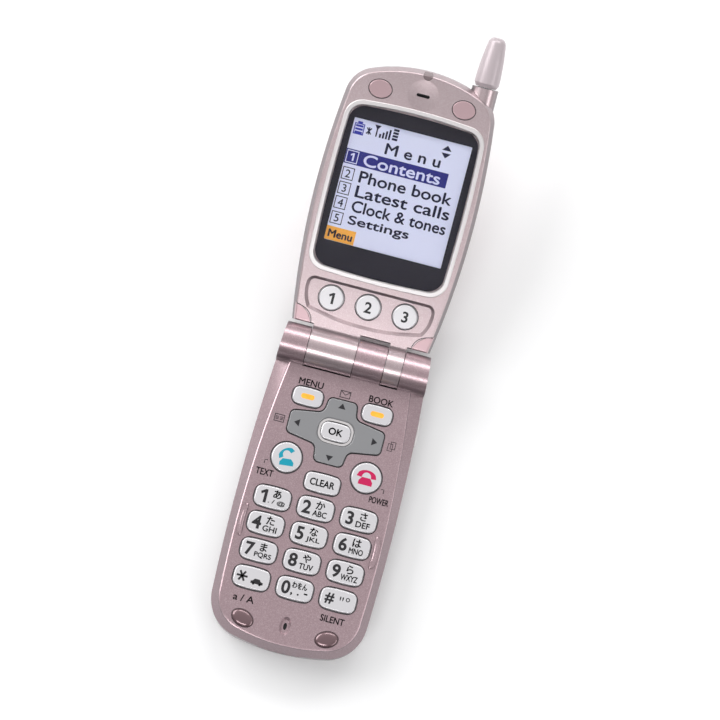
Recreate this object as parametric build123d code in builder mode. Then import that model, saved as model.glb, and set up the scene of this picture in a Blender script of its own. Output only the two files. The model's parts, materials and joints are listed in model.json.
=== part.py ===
"""Clamshell mobile phone with a pull-out antenna, as an assembly of separate pieces.

The phone lies open on its back.  Row frame in millimetres: +X runs to the right across the keypad,
+Y from the keypad half (the base) towards the display half (the lid), +Z up out of the keypad.
The origin is the centre of the phone's box, on the surface that the phone lies on.

Places on either half are given as (x, v), where v is the distance from the hinge axis along that half.
Heights in the base are z above the table.  Depths in the lid are w along the lid's own outward normal,
measured from the hinge axis, so the display face is at w = -FACE_DROP.
"""
import os
from math import cos, radians, sin

from build123d import *

os.makedirs("parts", exist_ok=True)

# ---- driving dimensions ---------------------------------------------------------------------------
OPEN_ANGLE = 163.0        # between the two inner faces with the lid fully open
BASE_LENGTH = 93.0        # hinge axis to the microphone end
LID_LENGTH = 90.5         # hinge axis to the earpiece end
HINGE_Z = 15.25           # hinge axis above the table
BARREL_R = 6.0            # radius of the hinge barrel
FACE_DROP = 0.6           # each inner face lies this far below the hinge axis
WALL = 1.4                # thickness of the moulded walls
SEAM_Z = 7.2              # joint line between the base's front and rear cases
BEVEL_Z = 11.2            # where the base's side starts to lean inwards
FACE_Z = HINGE_Z - FACE_DROP
FACE_INNER_Z = FACE_Z - WALL
LID_SEAM_W = -4.6         # joint line between the lid's front and rear cases
LID_BACK_W = -9.8         # outer face of the lid
LID_BEVEL_W = -3.2        # where the lid's side starts to lean inwards
RUN_GAP = 0.06            # radial clearance of a turning or sliding fit
KNUCKLE_GAP = 0.1         # each side of a joint line between two knuckles
BARREL_GAP = 0.35         # radial clearance round a barrel of the other half

KNUCKLE_LINES = (-15.0, 0.0, 9.4, 14.8)   # joint lines along the barrel: ear, lid, base, lid, ear
KEY_GAP = 0.3             # slit round a key
KEY_RISE = 0.6            # key top above the face
FLANGE = 0.6              # key flange, beyond the cap and in thickness
KEY_TRAVEL = 0.4

ANTENNA_X = 17.8
ANTENNA_W = -5.7
ANTENNA_BOSS_R = 4.1
ANTENNA_BOSS_END = 89.8
CAP_LENGTH = 15.4
CAP_R = 3.85
WHIP_R = 0.8

TILT = 180.0 - OPEN_ANGLE
CAP_TIP = ANTENNA_BOSS_END + 0.3 + CAP_LENGTH
REACH = CAP_TIP * cos(radians(TILT)) - (ANTENNA_W - 1.0) * sin(radians(TILT))
HINGE_Y = (BASE_LENGTH - REACH) / 2

BASE = Plane(origin=(0, HINGE_Y, 0))
LID = Plane(
    origin=(0, HINGE_Y, HINGE_Z),
    x_dir=(1, 0, 0),
    z_dir=(0, -sin(radians(TILT)), cos(radians(TILT))),
)


def keep(builder, node):
    """Labels a finished piece and writes it to its own file."""
    builder.part.label = node
    export_step(builder.part, f"parts/{node}.step")


def across(plane, x, v=0.0, height=0.0):
    """A plane across the phone at x, looking along +X, with its own X along the half and its Y outwards."""
    origin = plane.origin + plane.x_dir * x + plane.y_dir * v + plane.z_dir * height
    return Plane(origin=origin, x_dir=plane.y_dir, z_dir=plane.x_dir)


BASE_HINGE = BASE.offset(HINGE_Z)   # the base's plane, lifted to the hinge axis


# ---- plans ----------------------------------------------------------------------------------------
# Every plan is a function of grow, the width added all round, so hollows and gaps follow their pieces.
def case_plan(hinge_half, middle, end_half, tip_v, hinge_v, hinge_round, end_round, turn, grow):
    """Plan of a case half: bowed sides, a bowed free end, rounded corners. turn is -1 for the base."""
    near, end = turn * (hinge_v - grow), turn * (end_half[1] + grow)
    hinge_x, middle_x, end_x = hinge_half + grow, middle[0] + grow, end_half[0] + grow
    with BuildSketch() as plan:
        with BuildLine():
            ThreePointArc((hinge_x, near), (middle_x, turn * middle[1]), (end_x, end))
            ThreePointArc((end_x, end), (0, turn * (tip_v + grow)), (-end_x, end))
            ThreePointArc((-end_x, end), (-middle_x, turn * middle[1]), (-hinge_x, near))
            Line((-hinge_x, near), (hinge_x, near))
        make_face()
        corners = plan.vertices().sort_by(Axis.Y)
        free_end, hinge_end = (corners[:2], corners[2:]) if turn < 0 else (corners[2:], corners[:2])
        fillet(free_end, radius=end_round + grow)
        fillet(hinge_end, radius=max(hinge_round + grow, 0.8))
    return plan.sketch


def base_plan(grow=0.0):
    """Widest plan of the base."""
    return case_plan(22.6, (25.0, 48), (23.9, 88.6), BASE_LENGTH, -BARREL_R, 5.0, 12.5, -1, grow)


def base_face_plan(grow=0.0):
    """Plan of the keypad face, inside the leaning sides."""
    return case_plan(18.8, (22.6, 50), (21.6, 86.6), BASE_LENGTH - 2.1, 3.0, 1.5, 10.5, -1, grow)


def lid_plan(grow=0.0):
    """Widest plan of the lid."""
    return case_plan(21.9, (25.0, 38), (22.6, 84.6), LID_LENGTH, BARREL_R + 0.7, 1.4, 9.5, 1, grow)


def lid_face_plan():
    """Plan of the display face, inside the leaning sides."""
    return case_plan(20.9, (23.8, 38), (21.4, 83.8), LID_LENGTH - 1.2, BARREL_R + 0.9, 1.2, 8.6, 1, 0.0)


def window_plan(grow=0.0):
    """Plan of the display window: four bowed sides with rounded corners."""
    low, high = 25.7 - grow, 75.4 + grow
    with BuildSketch() as plan:
        with BuildLine():
            ThreePointArc((20.2 + grow, low), (20.9 + grow, 50), (20.1 + grow, high))
            ThreePointArc((20.1 + grow, high), (0, 76.8 + grow), (-20.1 - grow, high))
            ThreePointArc((-20.1 - grow, high), (-20.9 - grow, 50), (-20.2 - grow, low))
            ThreePointArc((-20.2 - grow, low), (0, 24.9 - grow), (20.2 + grow, low))
        make_face()
        fillet(plan.vertices(), radius=4.2 + grow)
    return plan.sketch


def tray_plan():
    """Plan of the tray round the lid's three keys: straight top, deep bowed bottom."""
    with BuildSketch() as plan:
        with BuildLine():
            Line((-19.8, 21.6), (19.8, 21.6))
            ThreePointArc((19.8, 21.6), (20.3, 17.5), (18.2, 11.4))
            ThreePointArc((18.2, 11.4), (0, 9.0), (-18.2, 11.4))
            ThreePointArc((-18.2, 11.4), (-20.3, 17.5), (-19.8, 21.6))
        make_face()
        corners = plan.vertices().sort_by(Axis.Y)
        fillet(corners[2:], radius=2.6)
        fillet(corners[:2], radius=3.4)
    return plan.sketch


def corner_pad_plan(grow=0.0):
    """Plan of the two screw covers in the lower corners of the lid, running out past its edge."""
    with BuildSketch() as plan:
        with BuildLine():
            ThreePointArc((15.9 - grow, 5.0), (17.7 - grow, 10.0 + grow), (24.0, 12.2 + grow))
            Polyline((24.0, 12.2 + grow), (24.0, 5.0), (15.9 - grow, 5.0))
        make_face()
        mirror(about=Plane.YZ)
    return plan.sketch


def navigation_plan(grow=0.0):
    """Plan of the four-way key: a cross whose arms widen towards the middle."""
    g = grow
    quarter = ((0, 10.1 + g), (4.3 + g, 10.1 + g), (5.0 + g, 5.0 + g), (14.8 + g, 3.4 + g), (14.8 + g, 0))
    with BuildSketch() as plan:
        with BuildLine():
            Polyline(*quarter)
            mirror(about=Plane.YZ)
            mirror(about=Plane.XZ)
        make_face()
        arm_ends = [c for c in plan.vertices() if abs(c.X) > 14 and abs(c.Y) > 1]
        arm_ends += [c for c in plan.vertices() if abs(c.Y) > 10 and abs(c.X) > 1]
        fillet(arm_ends, radius=1.5 + grow)
        armpits = [c for c in plan.vertices() if 4.5 < abs(c.X) < 6 and 4.5 < abs(c.Y) < 6]
        fillet(armpits, radius=2.4 - grow)
    return plan.sketch


def bowed(width, height, bow, radius):
    """Plan of a key whose edges bow outwards, with well rounded corners."""
    x, y = width / 2, height / 2
    with BuildSketch() as plan:
        with BuildLine():
            ThreePointArc((-x, y - bow), (0, y), (x, y - bow))
            ThreePointArc((x, y - bow), (x + bow / 2, 0), (x, bow - y))
            ThreePointArc((x, bow - y), (0, -y), (-x, bow - y))
            ThreePointArc((-x, bow - y), (-x - bow / 2, 0), (-x, y - bow))
        make_face()
        fillet(plan.vertices(), radius=radius)
    return plan.sketch


def digit_key_plan(grow=0.0):
    """Plan of a number key."""
    return bowed(10.7 + 2 * grow, 6.7 + 2 * grow, 0.4, 1.9 + grow)


def clear_key_plan(grow=0.0):
    """Plan of the clear key."""
    return bowed(10.5 + 2 * grow, 5.9 + 2 * grow, 0.35, 1.6 + grow)


def soft_key_plan(grow=0.0):
    """Plan of a soft key, under the display's two captions."""
    return bowed(9.0 + 2 * grow, 5.6 + 2 * grow, 0.3, 1.9 + grow)


def select_key_plan(grow=0.0):
    """Plan of the select key in the middle of the four-way key."""
    return bowed(9.0 + 2 * grow, 5.8 + 2 * grow, 0.3, 2.1 + grow)


def call_key_plan(grow=0.0):
    """Plan of the round call and end keys."""
    with BuildSketch() as plan:
        Circle(4.65 + grow)
    return plan.sketch


# ---- small helpers --------------------------------------------------------------------------------
def slab(plane, plan, low, high, shift=(0, 0), mode=Mode.ADD):
    """Fills a plan between two heights over the plane."""
    with BuildSketch(plane.offset(low)) as profile:
        with Locations(shift):
            add(plan)
    extrude(profile.sketch, amount=high - low, mode=mode)


def sloped(plane, low_plan, low, high_plan, high):
    """Straight-sided solid between two plans at two heights over the plane."""
    with BuildSketch(plane.offset(low)) as bottom:
        add(low_plan)
    with BuildSketch(plane.offset(high)) as top:
        add(high_plan)
    loft([bottom.sketch, top.sketch], ruled=True)


def block(plane, x, v, low, high, mode=Mode.ADD):
    """Fills a rectangle given by its x range and its range along the half between two heights."""
    with BuildSketch(plane.offset(low)) as profile:
        with Locations(((x[0] + x[1]) / 2, (v[0] + v[1]) / 2)):
            Rectangle(abs(x[1] - x[0]), abs(v[1] - v[0]))
    extrude(profile.sketch, amount=high - low, mode=mode)


def discs(plane, places, radius, low, high, mode=Mode.ADD):
    """Round bars of one size standing on the plane."""
    with BuildSketch(plane.offset(low)) as profile:
        with Locations(*places):
            Circle(radius)
    extrude(profile.sketch, amount=high - low, mode=mode)


def bar_x(plane, x_from, x_to, radius, mode=Mode.ADD):
    """A round bar along the plane's own X through its origin."""
    with BuildSketch(across(plane, x_from)) as profile:
        Circle(radius)
    extrude(profile.sketch, amount=x_to - x_from, mode=mode)


def outward(plane):
    """The axis a plane looks along, to sort faces by."""
    return Axis(plane.origin, plane.z_dir)


# ---- keys of the base -----------------------------------------------------------------------------
DIGIT_COLUMNS = (-13.6, 0.0, 13.6)
DIGIT_ROWS = (48.1, 56.4, 64.8, 73.4)
DIGIT_NAMES = ("1", "2", "3", "4", "5", "6", "7", "8", "9", "star", "0", "hash")

KEYS = {
    "soft_key_left": (soft_key_plan, (-11.0, -15.3)),
    "soft_key_right": (soft_key_plan, (11.0, -15.3)),
    "call_key": (call_key_plan, (-12.6, -35.0)),
    "end_key": (call_key_plan, (12.6, -35.0)),
    "clear_key": (clear_key_plan, (0.0, -40.1)),
}
for number, digit in enumerate(DIGIT_NAMES):
    KEYS[f"key_{digit}"] = (digit_key_plan, (DIGIT_COLUMNS[number % 3], -DIGIT_ROWS[number // 3]))

KEY_TOP_Z = FACE_Z + KEY_RISE
KEY_FLANGE_Z = (FACE_INNER_Z - 0.3 - FLANGE, FACE_INNER_Z - 0.3)
KEY_NUB_Z = KEY_FLANGE_Z[0] - KEY_TRAVEL
NAVIGATION_PLACE = (0, -23.75)
NAVIGATION_GAP = 0.35
NAVIGATION_TOP_Z = FACE_Z + 0.35
NAVIGATION_FLANGE_Z = (FACE_Z - 2.5, FACE_Z - 1.9)
ROCKER_RING_Z = (11.7, 11.95)

for name, (plan, place) in KEYS.items():
    with BuildPart() as key:
        slab(BASE, plan(FLANGE), *KEY_FLANGE_Z, place)
        slab(BASE, plan(), KEY_FLANGE_Z[1], KEY_TOP_Z, place)
        fillet(key.faces().sort_by(Axis.Z)[-1].edges(), radius=0.45)
        discs(BASE, [place], 1.2, KEY_NUB_Z, KEY_FLANGE_Z[0])
    keep(key, name)

# the four-way key rocks on a ring, and the select key stands in its middle
with BuildPart() as navigation_key:
    slab(BASE, navigation_plan(0.5), *NAVIGATION_FLANGE_Z, NAVIGATION_PLACE)
    slab(BASE, navigation_plan(), NAVIGATION_FLANGE_Z[1], NAVIGATION_TOP_Z, NAVIGATION_PLACE)
    fillet(navigation_key.faces().sort_by(Axis.Z)[-1].edges(), radius=0.3)
    # scooped seat round the select key
    for height, grow in ((NAVIGATION_TOP_Z - 0.55, 0.5), (NAVIGATION_TOP_Z + 0.01, 1.3)):
        with BuildSketch(BASE.offset(height)):
            with Locations(NAVIGATION_PLACE):
                add(select_key_plan(grow))
    loft(ruled=True, mode=Mode.SUBTRACT)
    slab(BASE, select_key_plan(0.4), FACE_Z - 4, FACE_Z + 1, NAVIGATION_PLACE, Mode.SUBTRACT)
keep(navigation_key, "navigation_key")

with BuildPart() as navigation_rocker_ring:
    discs(BASE, [NAVIGATION_PLACE], 6.4, *ROCKER_RING_Z)
    discs(BASE, [NAVIGATION_PLACE], 5.6, *ROCKER_RING_Z, Mode.SUBTRACT)
keep(navigation_rocker_ring, "navigation_rocker_ring")

with BuildPart() as select_key:
    slab(BASE, select_key_plan(), KEY_FLANGE_Z[0] + 0.05, KEY_TOP_Z, NAVIGATION_PLACE)
    fillet(select_key.faces().sort_by(Axis.Z)[-1].edges(), radius=0.6)
    discs(BASE, [NAVIGATION_PLACE], 1.2, KEY_NUB_Z, KEY_FLANGE_Z[0] + 0.05)
keep(select_key, "select_key")

# ---- hinge ----------------------------------------------------------------------------------------
LEFT_EAR, LONG_KNUCKLE, CENTRE_KNUCKLE, SHORT_KNUCKLE, RIGHT_EAR = (
    (a + KNUCKLE_GAP, b - KNUCKLE_GAP)
    for a, b in zip((-24.0, *KNUCKLE_LINES), (*KNUCKLE_LINES, 24.0))
)
SHAFT_R = 2.0
CLICK_UNIT_R = 4.2
BUSH_R = 2.9
BUSH_BORE_R = 2.2
SHAFT_SPAN = (-19.5, -2.5)
CLICK_UNIT_SPAN = (-14.5, -1.5)
BUSH_SPAN = (5.0, 18.4)
FLEX_SPAN = (2.1, 18.0)
FLEX_SLOT = (2.0, 4.6)

with BuildPart() as hinge_shaft:
    bar_x(BASE_HINGE, SHAFT_SPAN[0], SHAFT_SPAN[1], SHAFT_R)
    chamfer(hinge_shaft.faces().sort_by(Axis.X)[-1].edges(), length=0.4)
keep(hinge_shaft, "hinge_shaft")

with BuildPart() as hinge_click_unit:
    bar_x(BASE_HINGE, CLICK_UNIT_SPAN[0], CLICK_UNIT_SPAN[1], CLICK_UNIT_R)
    bar_x(BASE_HINGE, CLICK_UNIT_SPAN[0], CLICK_UNIT_SPAN[1], SHAFT_R + RUN_GAP, Mode.SUBTRACT)
keep(hinge_click_unit, "hinge_click_unit")

with BuildPart() as hinge_bush:
    bar_x(BASE_HINGE, BUSH_SPAN[0], BUSH_SPAN[1], BUSH_R)
    bar_x(BASE_HINGE, BUSH_SPAN[0], BUSH_SPAN[1], BUSH_BORE_R, Mode.SUBTRACT)
keep(hinge_bush, "hinge_bush")

with BuildPart() as hinge_flex_cable:
    # rolled once round the hinge axis inside the bush, with a tail down to the base's board
    bar_x(BASE_HINGE, FLEX_SPAN[0], FLEX_SPAN[1], 1.9)
    bar_x(BASE_HINGE, FLEX_SPAN[0], FLEX_SPAN[1], 1.6, Mode.SUBTRACT)
    block(BASE, (2.3, 4.3), (-1.75, -11.5), HINGE_Z - 2.3, HINGE_Z - 2.0)
    block(BASE, (2.3, 4.3), (-1.0, -1.75), HINGE_Z - 2.3, HINGE_Z - 1.55)
keep(hinge_flex_cable, "hinge_flex_cable")

# ---- base: front case -----------------------------------------------------------------------------
SCREW_BOTTOM = (16.8, -86.5)     # screw posts near the microphone end
SCREW_HINGE = (18.5, -4.0)       # screws under the ears
BUMPER_PLACE = (13.2, -85.8)
BUMPER_TURN = 18.0
SIDE_KEY_V = 16.9
SIDE_Z = 9.3                     # middle of the side key, the jack and the connector
JACK_V = 65.6
RIB_V = 56.6
RIB_X = 21.2
RIB_RISE = 0.6
HOLLOW_V = 7.8                   # where the hollow of the front case starts
COVER_T = 0.9                    # thickness of the two small covers
JACK_PIVOT = (-24.15, -JACK_V - 3.55)
CONNECTOR_PIVOT = (-92.15, SIDE_Z - 1.1)


def pair(place):
    """A place and its mirror image on the other side of the phone."""
    return [(-place[0], place[1]), place]


def bumper_plan(grow=0.0):
    """Plan of the two oval bumpers, their outer ends turned up along the corners."""
    with BuildSketch() as plan:
        for side in (-1, 1):
            with Locations(Location((side * BUMPER_PLACE[0], BUMPER_PLACE[1], 0), (0, 0, side * BUMPER_TURN))):
                Ellipse(3.5 + grow, 2.4 + grow)
    return plan.sketch


def rib_plan():
    """Plan of the two curved ribs, one each side of the 5 key."""
    with BuildSketch() as plan:
        with BuildLine():
            ThreePointArc((RIB_X + 0.35, -RIB_V - 3.9), (RIB_X + 0.95, -RIB_V), (RIB_X + 0.35, -RIB_V + 3.9))
            ThreePointArc((RIB_X + 0.35, -RIB_V + 3.9), (RIB_X - 0.35, -RIB_V + 4.6), (RIB_X - 1.1, -RIB_V + 3.9))
            ThreePointArc((RIB_X - 1.1, -RIB_V + 3.9), (RIB_X - 0.55, -RIB_V), (RIB_X - 1.1, -RIB_V - 3.9))
            ThreePointArc((RIB_X - 1.1, -RIB_V - 3.9), (RIB_X - 0.35, -RIB_V - 4.6), (RIB_X + 0.35, -RIB_V - 3.9))
        make_face()
        mirror(about=Plane.YZ)
    return plan.sketch


def trough(x_range):
    """Room in the base for a knuckle of the lid and for its web as the lid swings."""
    bar_x(BASE_HINGE, x_range[0], x_range[1], BARREL_R + BARREL_GAP, Mode.SUBTRACT)
    block(BASE_HINGE, x_range, (0, 8), -BARREL_R - BARREL_GAP, BARREL_R + BARREL_GAP, Mode.SUBTRACT)


with BuildPart() as base_front_case:
    slab(BASE, base_plan(), SEAM_Z, BEVEL_Z)
    # leaning sides, then a rounded edge round the keypad face in two steps
    sloped(BASE, base_plan(), BEVEL_Z, base_face_plan(0.15), FACE_Z - 0.5)
    sloped(BASE, base_face_plan(0.15), FACE_Z - 0.5, base_face_plan(), FACE_Z - 0.15)
    sloped(BASE, base_face_plan(), FACE_Z - 0.15, base_face_plan(-0.35), FACE_Z)
    # ears of the hinge: the case's own plan, under a barrel along the hinge axis
    with BuildPart(mode=Mode.PRIVATE) as ears:
        with BuildSketch(BASE.offset(SEAM_Z)):
            add(base_plan())
            with Locations(((LEFT_EAR[1] + RIGHT_EAR[0]) / 2, 0)):
                Rectangle(RIGHT_EAR[0] - LEFT_EAR[1], 60, mode=Mode.SUBTRACT)
            with Locations((0, -70)):
                Rectangle(60, 100, mode=Mode.SUBTRACT)
        extrude(amount=HINGE_Z + BARREL_R - SEAM_Z)
        with BuildSketch(across(BASE_HINGE, -30)):
            Circle(BARREL_R)
            with Locations((0, -BARREL_R)):
                Rectangle(2 * BARREL_R, 2 * BARREL_R)
        extrude(amount=60, mode=Mode.INTERSECT)
    add(ears.part)
    bar_x(BASE_HINGE, CENTRE_KNUCKLE[0], CENTRE_KNUCKLE[1], BARREL_R)
    # hollow for the boards and keys, with the screw posts left standing
    with BuildSketch(BASE.offset(SEAM_Z)):
        add(base_plan(-1.5))
        with Locations((0, -HOLLOW_V + 50)):
            Rectangle(60, 100, mode=Mode.SUBTRACT)
        with Locations(*pair(SCREW_BOTTOM)):
            Circle(2.0, mode=Mode.SUBTRACT)
    extrude(amount=BEVEL_Z - SEAM_Z, mode=Mode.SUBTRACT)
    with BuildSketch(BASE.offset(BEVEL_Z)):
        add(base_face_plan(-1.2))
        with Locations((0, -HOLLOW_V + 50)):
            Rectangle(60, 100, mode=Mode.SUBTRACT)
        with Locations(*pair(SCREW_BOTTOM)):
            Circle(2.0, mode=Mode.SUBTRACT)
    extrude(amount=FACE_INNER_Z - BEVEL_Z, mode=Mode.SUBTRACT)
    # room for the lid's knuckles, and bores for the shaft, the bush and the cable
    trough((LEFT_EAR[1], CENTRE_KNUCKLE[0]))
    trough((CENTRE_KNUCKLE[1], RIGHT_EAR[0]))
    bar_x(BASE_HINGE, -20.0, LEFT_EAR[1], SHAFT_R + 0.02, Mode.SUBTRACT)
    bar_x(BASE_HINGE, RIGHT_EAR[0], 18.8, BUSH_R + 0.02, Mode.SUBTRACT)
    bar_x(BASE_HINGE, BUSH_SPAN[0] - 0.2, CENTRE_KNUCKLE[1], BUSH_R + 0.02, Mode.SUBTRACT)
    bar_x(BASE_HINGE, FLEX_SLOT[0], BUSH_SPAN[0], 2.2, Mode.SUBTRACT)
    block(BASE, FLEX_SLOT, (-0.5, -HOLLOW_V - 0.4), HINGE_Z - 2.7, HINGE_Z - 1.4, Mode.SUBTRACT)
    # screw holes
    discs(BASE, pair(SCREW_BOTTOM), 0.82, SEAM_Z - 1, 12.0, Mode.SUBTRACT)
    discs(BASE, pair(SCREW_HINGE), 0.82, SEAM_Z - 1, 11.0, Mode.SUBTRACT)
    # key holes, bumper pockets and the microphone slot in its oval dimple
    for plan, place in KEYS.values():
        slab(BASE, plan(KEY_GAP), FACE_INNER_Z - 1, FACE_Z + 1, place, Mode.SUBTRACT)
    hole = navigation_plan(NAVIGATION_GAP)
    slab(BASE, hole, FACE_INNER_Z - 1, FACE_Z + 1, NAVIGATION_PLACE, Mode.SUBTRACT)
    slab(BASE, bumper_plan(0.25), FACE_Z - 0.9, FACE_Z + 1, mode=Mode.SUBTRACT)
    for height, shrink in ((FACE_Z + 0.01, 0.0), (FACE_Z - 0.7, 0.8)):
        with BuildSketch(BASE.offset(height)):
            with Locations((0, -85)):
                Ellipse(1.8 - shrink, 2.9 - shrink)
    loft(mode=Mode.SUBTRACT)
    with BuildSketch(BASE.offset(FACE_INNER_Z - 1)):
        with Locations((0, -85)):
            Ellipse(0.55, 1.1)
    extrude(amount=3, mode=Mode.SUBTRACT)
    # raised ribs either side of the 5 key
    slab(BASE, rib_plan(), FACE_Z - 0.2, FACE_Z + RIB_RISE)
    # side openings: key, earphone jack, connector
    block(BASE, (21, 26), (-SIDE_KEY_V - 4.6, -SIDE_KEY_V + 4.6), SIDE_Z - 1.4, SIDE_Z + 1.4, Mode.SUBTRACT)
    block(BASE, (-26, -23.55), (-JACK_V - 4.2, -JACK_V + 4.2), SIDE_Z - 1.6, SIDE_Z + 1.6, Mode.SUBTRACT)
    discs(BASE, [JACK_PIVOT], 0.36, SIDE_Z - 2.0, SIDE_Z + 2.0, Mode.SUBTRACT)
    with BuildSketch(across(BASE, -26, -JACK_V, SIDE_Z)):
        Circle(1.8)
    extrude(amount=4, mode=Mode.SUBTRACT)
    block(BASE, (-6.7, 6.7), (-94, -91.55), SIDE_Z - 1.7, SIDE_Z + 1.7, Mode.SUBTRACT)
    with BuildSketch(across(BASE, -7.3, CONNECTOR_PIVOT[0], CONNECTOR_PIVOT[1])):
        Circle(0.36)
    extrude(amount=14.6, mode=Mode.SUBTRACT)
    block(BASE, (-5.5, 5.5), (-94, -90.5), SIDE_Z - 1.2, SIDE_Z + 1.2, Mode.SUBTRACT)
keep(base_front_case, "base_front_case")

# ---- base: rear case and battery cover --------------------------------------------------------------
COVER_HALF = 19.5
COVER_V = 33.0
COVER_TOP_Z = 1.2
COVER_GAP = 0.12
TONGUE_Z = (0.7, COVER_TOP_Z)
BAY_HALF, BAY_V = 17.6, (-36.5, -82.5)
SPEAKER_PLACE = (0, -17)
STRAP_X = (-16.5, -11.5)
STRAP_Z = 4.2
STRAP_Y = 5.0
MOTOR_V = 88.0
MOTOR_Z = 4.9

with BuildPart() as rear_blank:
    slab(BASE, base_plan(), 0, SEAM_Z)
    fillet(rear_blank.faces().sort_by(Axis.Z)[0].edges(), radius=2.6)

with BuildPart() as base_rear_case:
    add(rear_blank.part)
    # seat of the sliding battery cover, with a groove each side and a slot for its front tongue
    with BuildSketch(Plane(origin=BASE.origin + BASE.y_dir * -33.8, x_dir=(1, 0, 0), z_dir=(0, -1, 0))):
        zone = COVER_HALF + COVER_GAP
        with BuildLine():
            Polyline(
                (-zone, -1), (-zone, 0.6), (-20.3, 0.6), (-20.3, COVER_TOP_Z + COVER_GAP),
                (20.3, COVER_TOP_Z + COVER_GAP), (20.3, 0.6), (zone, 0.6), (zone, -1), (-zone, -1),
            )
        make_face()
    extrude(amount=62, mode=Mode.SUBTRACT)
    block(BASE, (-zone, zone), (-COVER_V + COVER_GAP, -34.5), -1, COVER_TOP_Z + COVER_GAP, Mode.SUBTRACT)
    block(BASE, (-10.1, 10.1), (-32.2, -34.5), 0.6, COVER_TOP_Z + COVER_GAP, Mode.SUBTRACT)
    block(BASE, (-BAY_HALF, BAY_HALF), BAY_V, 0, 5.7, Mode.SUBTRACT)
    # shallow hollow under the main board, then deep ones for the speaker and for the motor
    for low, v_range, inset in ((6.6, (-1, -100), 1.5), (1.6, (-1, -31.5), 1.6), (2.5, (-84.6, -91.2), 1.6)):
        with BuildSketch(BASE.offset(low)):
            add(base_plan(-inset))
            with Locations((0, sum(v_range) / 2)):
                Rectangle(60, abs(v_range[1] - v_range[0]), mode=Mode.INTERSECT)
            with Locations(*pair(SCREW_BOTTOM), *pair(SCREW_HINGE)):
                Circle(2.4, mode=Mode.SUBTRACT)
        extrude(amount=SEAM_Z - low, mode=Mode.SUBTRACT)
    # screw holes, speaker grille, strap pocket
    discs(BASE, pair(SCREW_BOTTOM), 1.7, 0, 2.7, Mode.SUBTRACT)
    discs(BASE, pair(SCREW_BOTTOM), 0.9, 0, SEAM_Z + 1, Mode.SUBTRACT)
    discs(BASE, pair(SCREW_HINGE), 1.7, -1, 1.5, Mode.SUBTRACT)
    discs(BASE, pair(SCREW_HINGE), 0.9, 0, SEAM_Z + 1, Mode.SUBTRACT)
    with BuildSketch(BASE.offset(-1)):
        with Locations(SPEAKER_PLACE):
            Circle(0.6)
            with PolarLocations(2.3, 6):
                Circle(0.6)
    extrude(amount=3, mode=Mode.SUBTRACT)
    block(BASE, STRAP_X, (1.5, 7), STRAP_Z - 2, STRAP_Z + 2, Mode.SUBTRACT)
    with BuildSketch(across(BASE, STRAP_X[0] - 1.4, STRAP_Y, STRAP_Z)):
        Circle(0.72)
    extrude(amount=STRAP_X[1] - STRAP_X[0] + 2.8, mode=Mode.SUBTRACT)
keep(base_rear_case, "base_rear_case")

with BuildPart() as battery_cover:
    add(rear_blank.part)
    block(BASE, (-COVER_HALF, COVER_HALF), (-COVER_V, -95), 0, COVER_TOP_Z, Mode.INTERSECT)
    for side in (-1, 1):
        block(BASE, (side * 19.0, side * 20.2), (-34, -82), *TONGUE_Z)
    block(BASE, (-10, 10), (-32.4, -34), *TONGUE_Z)
    # thumb grip
    for rib in range(5):
        block(BASE, (-6, 6), (-38 - 1.5 * rib, -38.7 - 1.5 * rib), -0.1, 0.35, Mode.SUBTRACT)
keep(battery_cover, "battery_cover")

with BuildPart() as battery_pack:
    block(BASE, (-17.3, 17.3), (-37, -82), 1.5, 5.5)
    fillet(battery_pack.edges().filter_by(Axis.Z), radius=1.5)
keep(battery_pack, "battery_pack")

with BuildPart() as strap_bar:
    with BuildSketch(across(BASE, STRAP_X[0] - 1.3, STRAP_Y, STRAP_Z)):
        Circle(0.7)
    extrude(amount=STRAP_X[1] - STRAP_X[0] + 2.6)
keep(strap_bar, "strap_bar")

with BuildPart() as base_screws:
    discs(BASE, pair(SCREW_BOTTOM), 1.6, 1.5, 2.65)
    discs(BASE, pair(SCREW_BOTTOM), 0.8, 2.65, 11.5)
    discs(BASE, pair(SCREW_HINGE), 1.6, 0.3, 1.45)
    discs(BASE, pair(SCREW_HINGE), 0.8, 1.45, 10.5)
keep(base_screws, "base_screws")

# ---- base: boards and small parts -------------------------------------------------------------------
with BuildPart() as main_board:
    block(BASE, (-20, 20), (-9, -83.5), 7.8, 8.6)
    block(BASE, (-6, 6), (-83, -90), 7.8, 8.6)
keep(main_board, "main_board")

with BuildPart() as keypad_board:
    block(BASE, (-20, 20), (-10, -82), 10.2, 10.8)
keep(keypad_board, "keypad_board")

with BuildPart() as key_mat:
    # one rubber sheet with a soft pip under every key
    with BuildSketch(BASE.offset(10.85)):
        add(base_face_plan(-2.8))
        with Locations((0, -45)):
            Rectangle(60, 70, mode=Mode.INTERSECT)
    extrude(amount=0.65)
keep(key_mat, "key_mat")

with BuildPart() as ringer_speaker:
    discs(BASE, [SPEAKER_PLACE], 8.0, 1.6, 4.2)
    discs(BASE, [SPEAKER_PLACE], 6.0, 4.2, 5.0)
keep(ringer_speaker, "ringer_speaker")

with BuildPart() as microphone:
    discs(BASE, [(0, -85)], 1.8, 11.65, FACE_INNER_Z)
keep(microphone, "microphone")

with BuildPart() as base_bumpers:
    slab(BASE, bumper_plan(), FACE_Z - 0.9, FACE_Z + 0.55)
    tops = base_bumpers.faces().sort_by(Axis.Z)[-2:]
    fillet(tops.edges(), radius=0.65)
keep(base_bumpers, "base_bumpers")

MOTOR = BASE.offset(MOTOR_Z)
with BuildPart() as vibration_motor:
    with BuildSketch(across(MOTOR, -13.5, -MOTOR_V)):
        Circle(1.9)
    extrude(amount=7)
    with BuildSketch(across(MOTOR, -6.5, -MOTOR_V)):
        Circle(0.35)
    extrude(amount=3.2)
keep(vibration_motor, "vibration_motor")

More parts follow.
